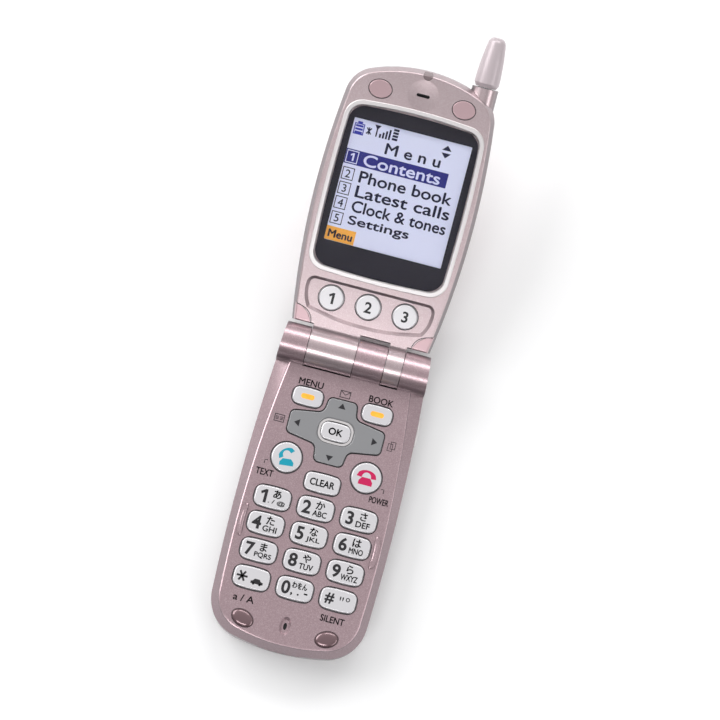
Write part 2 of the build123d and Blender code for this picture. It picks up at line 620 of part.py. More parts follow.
with BuildPart() as vibration_weight:
    with BuildSketch(across(MOTOR, -6.2, -MOTOR_V)):
        Circle(2.1)
        with Locations((0, 2.5 + 0.7)):
            Rectangle(5, 5, mode=Mode.SUBTRACT)
        Circle(0.41, mode=Mode.SUBTRACT)
    extrude(amount=2.8)
keep(vibration_weight, "vibration_weight")

# ---- base: side key, jack and connector, with their covers ------------------------------------------
with BuildPart() as side_key:
    slab(BASE, base_plan(0.5), SIDE_Z - 1.25, SIDE_Z + 1.25)
    block(BASE, (21.9, 26), (-SIDE_KEY_V - 4.45, -SIDE_KEY_V + 4.45), 5, 12, Mode.INTERSECT)
    fillet(side_key.faces().sort_by(Axis.X)[-1].edges(), radius=0.35)
    block(BASE, (21.5, 22.0), (-SIDE_KEY_V - 5.1, -SIDE_KEY_V + 5.1), SIDE_Z - 1.5, SIDE_Z + 1.7)
keep(side_key, "side_key")

with BuildPart() as earphone_jack:
    with BuildSketch(across(BASE, -23.5, -JACK_V, SIDE_Z)):
        Circle(1.75)
    extrude(amount=3.5)
    with BuildSketch(across(BASE, -23.5, -JACK_V, SIDE_Z)):
        Circle(1.25)
    extrude(amount=3.1, mode=Mode.SUBTRACT)
keep(earphone_jack, "earphone_jack")

with BuildPart() as jack_cover:
    x = (JACK_PIVOT[0] - COVER_T / 2, JACK_PIVOT[0] + COVER_T / 2)
    block(BASE, x, (JACK_PIVOT[1] - COVER_T / 2, -JACK_V + 4.0), SIDE_Z - 1.4, SIDE_Z + 1.4)
    pivot_edges = jack_cover.edges().filter_by(Axis.Z).group_by(Axis.Y)[0]
    fillet(pivot_edges, radius=COVER_T / 2 - 0.01)
    discs(BASE, [JACK_PIVOT], 0.3, SIDE_Z - 1.9, SIDE_Z + 1.9)
keep(jack_cover, "jack_cover")

with BuildPart() as system_connector:
    block(BASE, (-5.3, 5.3), (-84.2, -91.3), 8.6, 10.3)
    block(BASE, (-4.6, 4.6), (-88, -91.3), 9.1, 9.9, Mode.SUBTRACT)
keep(system_connector, "system_connector")

with BuildPart() as connector_cover:
    v = (CONNECTOR_PIVOT[0] - COVER_T / 2, CONNECTOR_PIVOT[0] + COVER_T / 2)
    block(BASE, (-6.5, 6.5), v, CONNECTOR_PIVOT[1] - COVER_T / 2, SIDE_Z + 1.5)
    pivot_edges = connector_cover.edges().filter_by(Axis.X).group_by(Axis.Z)[0]
    fillet(pivot_edges, radius=COVER_T / 2 - 0.01)
    with BuildSketch(across(BASE, -7.2, CONNECTOR_PIVOT[0], CONNECTOR_PIVOT[1])):
        Circle(0.3)
    extrude(amount=14.4)
keep(connector_cover, "connector_cover")

# ---- lid: front case ----------------------------------------------------------------------------------
LID_SCREW_TOP = (13.1, 81.9)
LID_SCREW_HINGE = (19.3, 8.7)
CEILING_W = -2.2                 # inside of the front wall over the display
TRAY_CEILING_W = -2.6            # and under the three keys
TRAY_TOP_V = 22.6
TRAY_FLOOR_W = -1.8
WINDOW_W = (-1.7, -0.7)
BEZEL_W = (-1.0, -0.3)
BEZEL_WIDTH = 1.6
ONE_TOUCH_X = (-11.7, 0.0, 11.7)
ONE_TOUCH_V = 16.0
ONE_TOUCH_R = 3.75
ONE_TOUCH_FLANGE_W = (-3.1, -2.65)
ONE_TOUCH_TRAVEL = 0.35
EARPIECE_V = 83.0
LENS_V = 89.3
BOSS_START = 75.6                # where the antenna's boss begins, above the display
ANTENNA = Plane(
    origin=LID.origin + LID.x_dir * ANTENNA_X + LID.z_dir * ANTENNA_W, x_dir=LID.x_dir, z_dir=LID.y_dir
)

with BuildPart() as lid_front_blank:
    slab(LID, lid_plan(), LID_SEAM_W, LID_BEVEL_W)
    with BuildSketch(LID.offset(LID_BEVEL_W)):
        add(lid_plan())
    with BuildSketch(LID.offset(-FACE_DROP)):
        add(lid_face_plan())
    loft(ruled=True)
    fillet(lid_front_blank.faces().sort_by(outward(LID))[-1].edges(), radius=0.6)

with BuildPart() as lid_front_case:
    add(lid_front_blank.part)
    # hollow, with the screw posts left standing
    for high, v_range in ((CEILING_W, (TRAY_TOP_V, 95)), (TRAY_CEILING_W, (5, TRAY_TOP_V + 0.1))):
        with BuildSketch(LID.offset(LID_SEAM_W)):
            add(lid_plan(-WALL))
            with Locations((0, sum(v_range) / 2)):
                Rectangle(60, v_range[1] - v_range[0], mode=Mode.INTERSECT)
            with Locations(*pair(LID_SCREW_TOP), *pair(LID_SCREW_HINGE)):
                Circle(2.5, mode=Mode.SUBTRACT)
        extrude(amount=high - LID_SEAM_W, mode=Mode.SUBTRACT)
    # knuckles of the hinge, joined to the case by webs
    for x_range in (LONG_KNUCKLE, SHORT_KNUCKLE):
        bar_x(LID, x_range[0], x_range[1], BARREL_R)
        block(LID, x_range, (0, 8), LID_SEAM_W, -FACE_DROP)
    bar_x(LID, -16, CLICK_UNIT_SPAN[1] + 0.3, CLICK_UNIT_R + 0.05, Mode.SUBTRACT)
    bar_x(LID, KNUCKLE_LINES[2], KNUCKLE_LINES[3], BUSH_R + RUN_GAP, Mode.SUBTRACT)
    # display opening, window seat and bezel groove
    block(LID, (-19.2, 19.2), (33, 72), -4, 1, Mode.SUBTRACT)
    slab(LID, window_plan(0.05), WINDOW_W[0], 1, mode=Mode.SUBTRACT)
    slab(LID, window_plan(BEZEL_WIDTH + 0.02), BEZEL_W[0], 1, mode=Mode.SUBTRACT)
    # dished tray with three round key holes
    with BuildSketch(LID.offset(-FACE_DROP)):
        add(tray_plan())
    extrude(amount=TRAY_FLOOR_W + FACE_DROP, taper=40, mode=Mode.SUBTRACT)
    discs(LID, [(x, ONE_TOUCH_V) for x in ONE_TOUCH_X], ONE_TOUCH_R + KEY_GAP, -4, 1, Mode.SUBTRACT)
    # earpiece slot in a shallow dish, hole of the indicator lens
    with BuildSketch(across(LID, 0, EARPIECE_V, 57.7)):
        with BuildLine():
            ThreePointArc((-58.5, 0), (0, -58.5), (58.5, 0))
            Line((58.5, 0), (-58.5, 0))
        make_face()
        with Locations((-50, -25)):
            Rectangle(100, 80, mode=Mode.SUBTRACT)
    revolve(axis=Axis(LID.origin + LID.y_dir * EARPIECE_V, LID.z_dir), mode=Mode.SUBTRACT)
    with BuildSketch(LID.offset(-4)):
        with Locations((0, EARPIECE_V)):
            SlotOverall(4.1, 1.0)
    extrude(amount=5, mode=Mode.SUBTRACT)
    discs(LID, [(0, LENS_V)], 1.52, -2.8, 1, Mode.SUBTRACT)
    # screw pockets under the caps and the corner pads
    with BuildSketch(LID.offset(-1.4)):
        with Locations(*pair(LID_SCREW_TOP)):
            Ellipse(3.6, 2.85)
    extrude(amount=2, mode=Mode.SUBTRACT)
    slab(LID, corner_pad_plan(), -1.5, 1, mode=Mode.SUBTRACT)
    discs(LID, pair(LID_SCREW_TOP), 1.7, -2.65, 0, Mode.SUBTRACT)
    discs(LID, pair(LID_SCREW_HINGE), 1.3, -2.75, 0, Mode.SUBTRACT)
    discs(LID, [*pair(LID_SCREW_TOP), *pair(LID_SCREW_HINGE)], 0.8, LID_SEAM_W - 1, 0, Mode.SUBTRACT)
    discs(ANTENNA, [(0, 0)], ANTENNA_BOSS_R + 0.1, BOSS_START - 0.3, 95, Mode.SUBTRACT)
keep(lid_front_case, "lid_front_case")

# ---- lid: rear case -----------------------------------------------------------------------------------
HOLDER_SPAN = (80.0, ANTENNA_BOSS_END - 0.1)
WHIP_START = 24.0
STOP_R = 1.15

with BuildPart() as lid_rear_case:
    slab(LID, lid_plan(), LID_BACK_W, LID_SEAM_W)
    fillet(lid_rear_case.faces().sort_by(outward(LID))[0].edges(), radius=3.0)
    with BuildSketch(LID.offset(LID_BACK_W + 1.3)):
        add(lid_plan(-WALL))
        with Locations(*pair(LID_SCREW_TOP), *pair(LID_SCREW_HINGE)):
            Circle(2.2, mode=Mode.SUBTRACT)
    extrude(amount=LID_SEAM_W - LID_BACK_W - 1.3, mode=Mode.SUBTRACT)
    # boss of the antenna, screw holes and bores
    discs(ANTENNA, [(0, 0)], ANTENNA_BOSS_R, BOSS_START, ANTENNA_BOSS_END)
    discs(LID, [*pair(LID_SCREW_TOP), *pair(LID_SCREW_HINGE)], 0.75, -7.8, 0, Mode.SUBTRACT)
    discs(ANTENNA, [(0, 0)], 2.42, HOLDER_SPAN[0], ANTENNA_BOSS_END + 1, Mode.SUBTRACT)
    discs(ANTENNA, [(0, 0)], STOP_R + 0.15, BOSS_START - 1, HOLDER_SPAN[0], Mode.SUBTRACT)
keep(lid_rear_case, "lid_rear_case")

# ---- lid: window, display and small parts ---------------------------------------------------------------
with BuildPart() as display_window:
    slab(LID, window_plan(), *WINDOW_W)
keep(display_window, "display_window")

with BuildPart() as display_bezel:
    slab(LID, window_plan(BEZEL_WIDTH), *BEZEL_W)
    fillet(display_bezel.faces().sort_by(outward(LID))[-1].edges(), radius=0.3)
    slab(LID, window_plan(0.05), *BEZEL_W, mode=Mode.SUBTRACT)
    chamfer(display_bezel.faces().sort_by(outward(LID))[-1].inner_wires().edges(), length=0.3, length2=0.5)
keep(display_bezel, "display_bezel")

with BuildPart() as display_panel:
    block(LID, (-19.6, 19.6), (29.5, 75), -4.4, -2.3)
keep(display_panel, "display_panel")

with BuildPart() as lid_board:
    block(LID, (-20, 15), (12.5, 75.3), -5.4, -4.8)
    # raised strip that carries the switches of the three keys
    block(LID, (-16, 15), (12.5, 20.5), -4.8, -3.9)
keep(lid_board, "lid_board")

for number, x in enumerate(ONE_TOUCH_X, start=1):
    with BuildPart() as one_touch_key:
        discs(LID, [(x, ONE_TOUCH_V)], ONE_TOUCH_R + 0.65, *ONE_TOUCH_FLANGE_W)
        discs(LID, [(x, ONE_TOUCH_V)], ONE_TOUCH_R, ONE_TOUCH_FLANGE_W[1], -0.8)
        fillet(one_touch_key.faces().sort_by(outward(LID))[-1].edges(), radius=0.4)
        discs(LID, [(x, ONE_TOUCH_V)], 1.2, -3.45, ONE_TOUCH_FLANGE_W[0])
    keep(one_touch_key, f"one_touch_key_{number}")

with BuildPart() as earpiece_speaker:
    discs(LID, [(0, EARPIECE_V - 1)], 4.5, -4.4, CEILING_W)
keep(earpiece_speaker, "earpiece_speaker")

with BuildPart() as indicator_lens:
    add(lid_front_blank.part)
    discs(LID, [(0, LENS_V)], 1.5, -2.8, 1, Mode.INTERSECT)
keep(indicator_lens, "indicator_lens")

with BuildPart() as lid_screw_caps:
    with BuildSketch(LID.offset(-1.4)):
        with Locations(*pair(LID_SCREW_TOP)):
            Ellipse(3.5, 2.75)
    extrude(amount=0.95)
    fillet(lid_screw_caps.faces().sort_by(outward(LID))[-2:].edges(), radius=0.25)
keep(lid_screw_caps, "lid_screw_caps")

with BuildPart() as lid_corner_pads:
    add(lid_front_blank.part)
    slab(LID, corner_pad_plan(-0.1), -1.5, 1, mode=Mode.INTERSECT)
keep(lid_corner_pads, "lid_corner_pads")

with BuildPart() as lid_screws:
    discs(LID, pair(LID_SCREW_TOP), 1.6, -2.6, -1.5)
    discs(LID, pair(LID_SCREW_HINGE), 1.2, -2.7, -1.6)
    discs(LID, [*pair(LID_SCREW_TOP), *pair(LID_SCREW_HINGE)], 0.7, -7.5, -2.5)
keep(lid_screws, "lid_screws")

# ---- antenna ------------------------------------------------------------------------------------------
CAP_START = ANTENNA_BOSS_END + 0.3
WHIP_END = CAP_START + 2.0

with BuildPart() as antenna_holder:
    discs(ANTENNA, [(0, 0)], 2.4, *HOLDER_SPAN)
    discs(ANTENNA, [(0, 0)], WHIP_R + RUN_GAP, *HOLDER_SPAN, Mode.SUBTRACT)
keep(antenna_holder, "antenna_holder")

with BuildPart() as antenna_whip:
    discs(ANTENNA, [(0, 0)], WHIP_R, WHIP_START, WHIP_END)
    discs(ANTENNA, [(0, 0)], STOP_R, WHIP_START, WHIP_START + 2)
keep(antenna_whip, "antenna_whip")

with BuildPart() as antenna_cap:
    with BuildSketch(Plane(origin=ANTENNA.origin, x_dir=LID.x_dir, z_dir=LID.z_dir)):
        with BuildLine():
            Polyline((0.6, CAP_TIP), (0, CAP_TIP), (0, WHIP_END + 0.1), (WHIP_R + 0.02, WHIP_END + 0.1))
            Polyline((WHIP_R + 0.02, WHIP_END + 0.1), (WHIP_R + 0.02, CAP_START), (3.2, CAP_START))
            Line((3.2, CAP_START), (CAP_R, CAP_START + 1.2))
            ThreePointArc((CAP_R, CAP_START + 1.2), (3.55, CAP_TIP - 8), (2.75, CAP_TIP - 1.9))
            ThreePointArc((2.75, CAP_TIP - 1.9), (2.0, CAP_TIP - 0.5), (0.6, CAP_TIP))
        make_face()
    revolve(axis=Axis(ANTENNA.origin, ANTENNA.z_dir))
keep(antenna_cap, "antenna_cap")
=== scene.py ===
# %% [markdown]
# # A clamshell mobile phone, lying open
# The hard parts come ready made from the CAD frame: cases, keys, hinge, window, antenna. This lesson
# gives them their finishes, and adds what CAD leaves out: printed legends, the lit display, the dark
# print round the window, soft bumpers, grips and the shaded edges of the openings. Everything is in
# metres, in the frame's own coordinates.

# %% Load the frame
import json
from math import cos, pi, radians, sin

import bpy
import numpy as np
from mathutils import Matrix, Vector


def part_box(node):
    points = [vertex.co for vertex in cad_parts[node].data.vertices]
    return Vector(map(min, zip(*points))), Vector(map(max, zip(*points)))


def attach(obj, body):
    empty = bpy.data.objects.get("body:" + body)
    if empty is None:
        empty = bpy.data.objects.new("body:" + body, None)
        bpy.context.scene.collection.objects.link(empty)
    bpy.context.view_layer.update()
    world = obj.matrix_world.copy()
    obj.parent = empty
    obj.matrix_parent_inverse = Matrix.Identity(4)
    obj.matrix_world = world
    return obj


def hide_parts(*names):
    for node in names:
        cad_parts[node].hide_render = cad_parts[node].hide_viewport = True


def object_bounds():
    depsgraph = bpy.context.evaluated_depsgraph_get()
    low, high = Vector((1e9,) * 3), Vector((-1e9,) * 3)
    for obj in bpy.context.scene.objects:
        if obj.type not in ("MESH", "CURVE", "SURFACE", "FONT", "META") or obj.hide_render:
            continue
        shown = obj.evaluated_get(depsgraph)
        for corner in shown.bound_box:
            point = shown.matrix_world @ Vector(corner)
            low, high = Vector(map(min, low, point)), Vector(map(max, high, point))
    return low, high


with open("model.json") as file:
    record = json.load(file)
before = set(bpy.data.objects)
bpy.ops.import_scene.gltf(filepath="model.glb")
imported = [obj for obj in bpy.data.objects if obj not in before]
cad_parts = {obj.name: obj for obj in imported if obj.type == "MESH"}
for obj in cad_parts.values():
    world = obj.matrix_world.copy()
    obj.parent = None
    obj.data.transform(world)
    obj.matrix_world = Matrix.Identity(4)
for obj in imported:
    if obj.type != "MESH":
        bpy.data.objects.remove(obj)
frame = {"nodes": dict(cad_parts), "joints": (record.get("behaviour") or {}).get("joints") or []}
cad_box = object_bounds()
nodes = frame["nodes"]

# %% [markdown]
# ## Two working planes
# Every flat thing on this phone is printed on one of two faces: the keypad face, which lies level, and
# the display face, which is tilted about the hinge. So each half gets its own plane through the hinge
# axis. A place is (x, s, h): x across, s along the half from the hinge (negative on the keypad half,
# positive on the display half), h outwards. All are in millimetres, and one function turns arrays of
# them into metres in the frame.

# %% Working planes
MM = 0.001
hinge = next(joint for joint in frame["joints"] if joint["name"] == "lid_hinge")
slide = next(joint for joint in frame["joints"] if joint["name"] == "antenna_slide")
HINGE = np.array(hinge["pos_m"])
PLANES = {
    "base": (np.array([HINGE[0], HINGE[1], 0.0]), np.array([0.0, 1.0, 0.0])),
    "lid": (HINGE, np.array(slide["axis"])),
}


def lift(plane, flat, height):
    """Takes an (n, 2) array of (x, s) in millimetres to points in metres: origin + x X + s Y + height N."""
    origin, along = PLANES[plane]
    across = np.array([1.0, 0.0, 0.0])
    outward = np.cross(across, along)
    flat = np.asarray(flat, float) * MM
    return origin + flat[:, :1] * across + flat[:, 1:2] * along + height * MM * outward


def drop(plane, point):
    """Takes a point in metres back to (x, s, h) in millimetres on a plane."""
    origin, along = PLANES[plane]
    across = np.array([1.0, 0.0, 0.0])
    offset = (np.array(point) - origin) / MM
    return offset @ across, offset @ along, offset @ np.cross(across, along)


lean = float(np.degrees(np.arcsin(PLANES["lid"][1][2])))
print("hinge axis at", HINGE, "lid leans", round(lean, 1), "degrees")

# %% [markdown]
# ## Shared effects
# Moulded and painted plastic is never one colour. Paint has a fine metallic flake and slow cloudy
# changes, plain plastic has a soft texture from its mould, and metal has fine lines from drawing or
# rolling. Each effect is one node group, placed in several materials with its own numbers. They read
# Object coordinates, which are metres in the frame, so a scale of 1000 means features of a millimetre.

# %% Node helpers
def srgb(red, green, blue):
    """A colour given as 0 to 255 screen values, as the linear RGBA that shader sockets take."""
    value = np.array([red, green, blue]) / 255.0
    linear = np.where(value <= 0.04045, value / 12.92, ((value + 0.055) / 1.055) ** 2.4)
    return (*[float(channel) for channel in linear], 1.0)


def new_group(name, inputs, outputs):
    """An empty shader node group with named sockets. Returns the tree and its two end nodes."""
    tree = bpy.data.node_groups.new(name, "ShaderNodeTree")
    for label, kind, value in inputs:
        socket = tree.interface.new_socket(name=label, in_out="INPUT", socket_type=kind)
        if value is not None:
            socket.default_value = value
    for label, kind in outputs:
        tree.interface.new_socket(name=label, in_out="OUTPUT", socket_type=kind)
    return tree, tree.nodes.new("NodeGroupInput"), tree.nodes.new("NodeGroupOutput")


def node(tree, kind, **values):
    """Adds a node; a key naming an input socket sets it, and any other key is a property of the node."""
    made = tree.nodes.new(kind)
    for key, value in values.items():
        label = key.replace("_", " ")
        if label in made.inputs:
            made.inputs[label].default_value = value
        else:
            setattr(made, key, value)
    return made


COLOR, FLOAT, VECTOR = "NodeSocketColor", "NodeSocketFloat", "NodeSocketVector"
print("mid grey on screen is", round(srgb(128, 128, 128)[0], 3), "in linear light")

# %% Cloudy colour and roughness
cloud, cloud_in, cloud_out = new_group(
    "Cloudy finish",
    [("Color", COLOR, None), ("Dark Color", COLOR, None), ("Scale", FLOAT, 60.0), ("Amount", FLOAT, 0.3),
     ("Roughness", FLOAT, 0.4), ("Roughness Spread", FLOAT, 0.1)],
    [("Color", COLOR), ("Roughness", FLOAT)],
)
where = node(cloud, "ShaderNodeTexCoord")
slow = node(cloud, "ShaderNodeTexNoise", Detail=3.0, Roughness=0.55)
share = node(cloud, "ShaderNodeMath", operation="MULTIPLY")
tone = node(cloud, "ShaderNodeMix", data_type="RGBA")
spread = node(cloud, "ShaderNodeMath", operation="MULTIPLY")
centred = node(cloud, "ShaderNodeMath", operation="SUBTRACT")
centred.inputs[1].default_value = 0.5
total = node(cloud, "ShaderNodeMath", operation="ADD", use_clamp=True)
cloud.links.new(where.outputs["Object"], slow.inputs["Vector"])
cloud.links.new(cloud_in.outputs["Scale"], slow.inputs["Scale"])
cloud.links.new(slow.outputs["Fac"], share.inputs[0])
cloud.links.new(cloud_in.outputs["Amount"], share.inputs[1])
cloud.links.new(share.outputs[0], tone.inputs["Factor"])
cloud.links.new(cloud_in.outputs["Color"], tone.inputs["A"])
cloud.links.new(cloud_in.outputs["Dark Color"], tone.inputs["B"])
cloud.links.new(slow.outputs["Fac"], centred.inputs[0])
cloud.links.new(centred.outputs[0], spread.inputs[0])
cloud.links.new(cloud_in.outputs["Roughness Spread"], spread.inputs[1])
cloud.links.new(spread.outputs[0], total.inputs[0])
cloud.links.new(cloud_in.outputs["Roughness"], total.inputs[1])
cloud.links.new(tone.outputs["Result"], cloud_out.inputs["Color"])
cloud.links.new(total.outputs[0], cloud_out.inputs["Roughness"])
print(cloud.name, "has", len(cloud.nodes), "nodes")

# %% Metal flake in paint
flake, flake_in, flake_out = new_group(
    "Metal flake",
    [("Color", COLOR, None), ("Flake Color", COLOR, None), ("Size", FLOAT, 0.12), ("Amount", FLOAT, 0.4)],
    [("Color", COLOR), ("Height", FLOAT)],
)
where = node(flake, "ShaderNodeTexCoord")
per_metre = node(flake, "ShaderNodeMath", operation="DIVIDE")
per_metre.inputs[0].default_value = 1000.0
cells = node(flake, "ShaderNodeTexVoronoi", feature="F1")
split = node(flake, "ShaderNodeSeparateColor")
bright = node(flake, "ShaderNodeMath", operation="POWER")
bright.inputs[1].default_value = 3.0
share = node(flake, "ShaderNodeMath", operation="MULTIPLY")
tone = node(flake, "ShaderNodeMix", data_type="RGBA")
flake.links.new(where.outputs["Object"], cells.inputs["Vector"])
flake.links.new(flake_in.outputs["Size"], per_metre.inputs[1])
flake.links.new(per_metre.outputs[0], cells.inputs["Scale"])
flake.links.new(cells.outputs["Color"], split.inputs["Color"])
flake.links.new(split.outputs["Red"], bright.inputs[0])
flake.links.new(bright.outputs[0], share.inputs[0])
flake.links.new(flake_in.outputs["Amount"], share.inputs[1])
flake.links.new(share.outputs[0], tone.inputs["Factor"])
flake.links.new(flake_in.outputs["Color"], tone.inputs["A"])
flake.links.new(flake_in.outputs["Flake Color"], tone.inputs["B"])
flake.links.new(tone.outputs["Result"], flake_out.inputs["Color"])
flake.links.new(split.outputs["Green"], flake_out.inputs["Height"])
print(flake.name, "has", len(flake.nodes), "nodes")

# %% Fine mould texture
grain, grain_in, grain_out = new_group(
    "Mould grain",
    [("Scale", FLOAT, 4000.0), ("Stretch", VECTOR, (1.0, 1.0, 1.0))],
    [("Height", FLOAT)],
)
where = node(grain, "ShaderNodeTexCoord")
pull = node(grain, "ShaderNodeVectorMath", operation="MULTIPLY")
fine = node(grain, "ShaderNodeTexNoise", Detail=2.0, Roughness=0.6)
grain.links.new(where.outputs["Object"], pull.inputs[0])
grain.links.new(grain_in.outputs["Stretch"], pull.inputs[1])
grain.links.new(pull.outputs["Vector"], fine.inputs["Vector"])
grain.links.new(grain_in.outputs["Scale"], fine.inputs["Scale"])
grain.links.new(fine.outputs["Fac"], grain_out.inputs["Height"])
print(grain.name, "has", len(grain.nodes), "nodes")

# %% [markdown]
# ## Painted shade on the sides
# The upright sides are given a darker colour than the broad faces: painted shade, standing in for the
# light that falls less on them. The group reads how level a face is, the absolute z of its normal, and
# fades to the darker side colour as the face turns upright.

# %% Painted side shade
# This group darkens upright faces as painted shade; the paint itself is the same all over.
sides, side_shade_in, side_shade_out = new_group(
    "Painted side shade", [("Color", COLOR, None), ("Side Color", COLOR, None)], [("Color", COLOR)],
)
facing = node(sides, "ShaderNodeTexCoord")
upward = node(sides, "ShaderNodeSeparateXYZ")
level = node(sides, "ShaderNodeMath", operation="ABSOLUTE")
reach = node(sides, "ShaderNodeMapRange", interpolation_type="SMOOTHSTEP", From_Min=0.3, From_Max=0.95)
tone = node(sides, "ShaderNodeMix", data_type="RGBA")
sides.links.new(facing.outputs["Normal"], upward.inputs["Vector"])
sides.links.new(upward.outputs["Z"], level.inputs[0])
sides.links.new(level.outputs[0], reach.inputs["Value"])
sides.links.new(reach.outputs["Result"], tone.inputs["Factor"])
sides.links.new(side_shade_in.outputs["Side Color"], tone.inputs["A"])
sides.links.new(side_shade_in.outputs["Color"], tone.inputs["B"])
sides.links.new(tone.outputs["Result"], side_shade_out.inputs["Color"])
print("node groups:", [group.name for group in bpy.data.node_groups])

# %% [markdown]
# ## Materials
# Nearly every finish here is the same recipe: a base colour that clouds towards a second one, perhaps
# flakes in it, a slight bump, and the gloss that its maker gave it. One function builds the recipe, and a
# table gives each finish its values, so that they can be compared side by side. What is the same
# all over a finish, such as metal share or coat, is set straight on the shader.

# %% The recipe for a finish
def group_node(tree, group, **values):
    """Places a node group and sets its inputs by name."""
    placed = tree.nodes.new("ShaderNodeGroup")
    placed.node_tree = group
    for key, value in values.items():
        placed.inputs[key.replace("_", " ")].default_value = value
    return placed


BUMP_DEPTH = 0.05 * MM
ROUGHNESS_SPREAD = 0.12


def finish(name, color, dark, rough=0.4, metal=0.0, coat=0.0, coat_rough=0.1, cloud_scale=60.0,
           amount=0.5, flakes=None, bump=0.05, bump_scale=4000.0, stretch=(1.0, 1.0, 1.0), glow=None,
           side=None):
    """A procedural finish: cloudy colour and roughness, and a fine bump.

    flakes adds specks (colour, size, amount), glow lights it, and side is a darker colour painted on upright
    faces as shade."""
    material = bpy.data.materials.new(name)
    material.use_nodes = True
    tree = material.node_tree
    shader = tree.nodes["Principled BSDF"]
    shader.inputs["Metallic"].default_value = metal
    shader.inputs["Coat Weight"].default_value = coat
    shader.inputs["Coat Roughness"].default_value = coat_rough
    clouds = group_node(tree, cloud, Color=color, Dark_Color=dark, Scale=cloud_scale, Amount=amount,
                        Roughness=rough, Roughness_Spread=ROUGHNESS_SPREAD)
    texture = group_node(tree, grain, Scale=bump_scale, Stretch=stretch)
    relief = tree.nodes.new("ShaderNodeBump")
    relief.inputs["Strength"].default_value = bump
    relief.inputs["Distance"].default_value = BUMP_DEPTH
    paint = clouds.outputs["Color"]
    height = texture.outputs["Height"]
    if flakes:
        flake_color, size, share_of = flakes
        specks = group_node(tree, flake, Flake_Color=flake_color, Size=size, Amount=share_of)
        tree.links.new(paint, specks.inputs["Color"])
        paint = specks.outputs["Color"]
        height = specks.outputs["Height"]
    # side paints the upright faces darker through the side shade group: painted shade.
    if side:
        edge = group_node(tree, sides, Side_Color=side)
        tree.links.new(paint, edge.inputs["Color"])
        paint = edge.outputs["Color"]
    tree.links.new(paint, shader.inputs["Base Color"])
    tree.links.new(clouds.outputs["Roughness"], shader.inputs["Roughness"])
    tree.links.new(height, relief.inputs["Height"])
    tree.links.new(relief.outputs["Normal"], shader.inputs["Normal"])
    if glow:
        tree.links.new(paint, shader.inputs["Emission Color"])
        shader.inputs["Emission Strength"].default_value = glow
    return material


# %% The finishes of this phone
FLAKE_PINK = (srgb(236, 216, 220), 0.16, 0.45)
FLAKE_SILVER = (srgb(240, 232, 234), 0.16, 0.4)
# The side colours of both paints are painted shade for their upright faces, not a second paint.
base_paint = finish("base paint", srgb(184, 158, 164), srgb(170, 143, 150), 0.32, 0.7, 0.3, 0.15,
                    cloud_scale=25.0, flakes=FLAKE_PINK, bump=0.04, side=srgb(106, 96, 100))
lid_paint = finish("lid paint", srgb(206, 186, 189), srgb(190, 168, 173), 0.3, 0.75, 0.3, 0.15,
                   cloud_scale=25.0, flakes=FLAKE_SILVER, bump=0.04, side=srgb(128, 120, 123))
trim_silver = finish("trim silver", srgb(236, 232, 232), srgb(222, 216, 218), 0.34, 0.7, 0.2, bump=0.03)
key_silver = finish("key silver", srgb(222, 220, 223), srgb(204, 202, 206), 0.32, 0.35, 0.4, 0.15, bump=0.04)
navigation_grey = finish("navigation grey", srgb(150, 150, 152), srgb(128, 128, 132), 0.36, 0.35, 0.3,
                         bump=0.05)
pale_pink = finish("pale pink", srgb(206, 176, 181), srgb(194, 162, 168), 0.3, 0.6, 0.3, bump=0.05)
bumper_rose = finish("bumper rose", srgb(132, 106, 110), srgb(110, 86, 92), 0.2, 0.5, 0.6, bump=0.05)
antenna_pale = finish("antenna pale", srgb(196, 184, 188), srgb(182, 170, 174), 0.42, 0.3, 0.2, bump=0.05)
lens_smoke = finish("lens smoke", srgb(134, 118, 120), srgb(112, 98, 100), 0.2, 0.2, 0.5, bump=0.02)
black_plastic = finish("black plastic", srgb(34, 34, 36), srgb(24, 24, 26), 0.5, bump=0.15)
board_green = finish("board green", srgb(36, 92, 58), srgb(24, 70, 44), 0.35, 0.0, 0.4, cloud_scale=300.0)
mat_grey = finish("mat grey", srgb(150, 150, 152), srgb(132, 132, 136), 0.6, bump=0.1)
steel = finish("steel", srgb(170, 170, 172), srgb(140, 140, 144), 0.3, 1.0, bump=0.1,
               stretch=(1.0, 12.0, 12.0))
bright_plate = finish("bright plate", srgb(214, 214, 216), srgb(190, 190, 194), 0.16, 1.0, bump=0.04)
weight_metal = finish("weight metal", srgb(150, 132, 108), srgb(126, 110, 90), 0.45, 1.0, bump=0.2)
battery_can = finish("battery can", srgb(176, 178, 182), srgb(156, 158, 164), 0.35, 0.9, bump=0.08,
                     stretch=(12.0, 1.0, 12.0))
flex_amber = finish("flex amber", srgb(190, 116, 36), srgb(160, 92, 24), 0.3, 0.0, 0.4, cloud_scale=200.0)
ink_black = finish("legend ink", srgb(26, 24, 28), srgb(34, 32, 38), 0.45, bump=0.05)
# This grey is both the real print on the keypad face and the painted shade lines round the openings.
print_and_shade_grey = finish("face print and shade lines", srgb(44, 38, 42), srgb(54, 46, 50), 0.45, bump=0.05)
ink_cyan = finish("call ink", srgb(0, 150, 172), srgb(0, 134, 160), 0.4, bump=0.05)
ink_crimson = finish("end ink", srgb(196, 10, 84), srgb(176, 6, 72), 0.4, bump=0.05)
lamp_amber = finish("lamp amber", srgb(250, 190, 70), srgb(240, 140, 40), 0.3, cloud_scale=600.0,
                    amount=0.9, glow=0.2)
border_print = finish("border print", srgb(22, 17, 34), srgb(17, 13, 27), 0.55, bump=0.02)
screen_pale = finish("screen pale", srgb(204, 207, 226), srgb(194, 198, 220), 0.3, cloud_scale=40.0, glow=0.3)
screen_navy = finish("screen navy", srgb(40, 40, 120), srgb(34, 34, 108), 0.3, glow=0.3)
screen_dark = finish("screen dark", srgb(26, 26, 60), srgb(22, 22, 52), 0.3, glow=0.1)
screen_blue = finish("screen blue", srgb(44, 48, 150), srgb(38, 42, 140), 0.3, glow=0.3)
screen_orange = finish("screen orange", srgb(226, 162, 66), srgb(214, 148, 54), 0.3, glow=0.3)
print("materials:", len(bpy.data.materials))
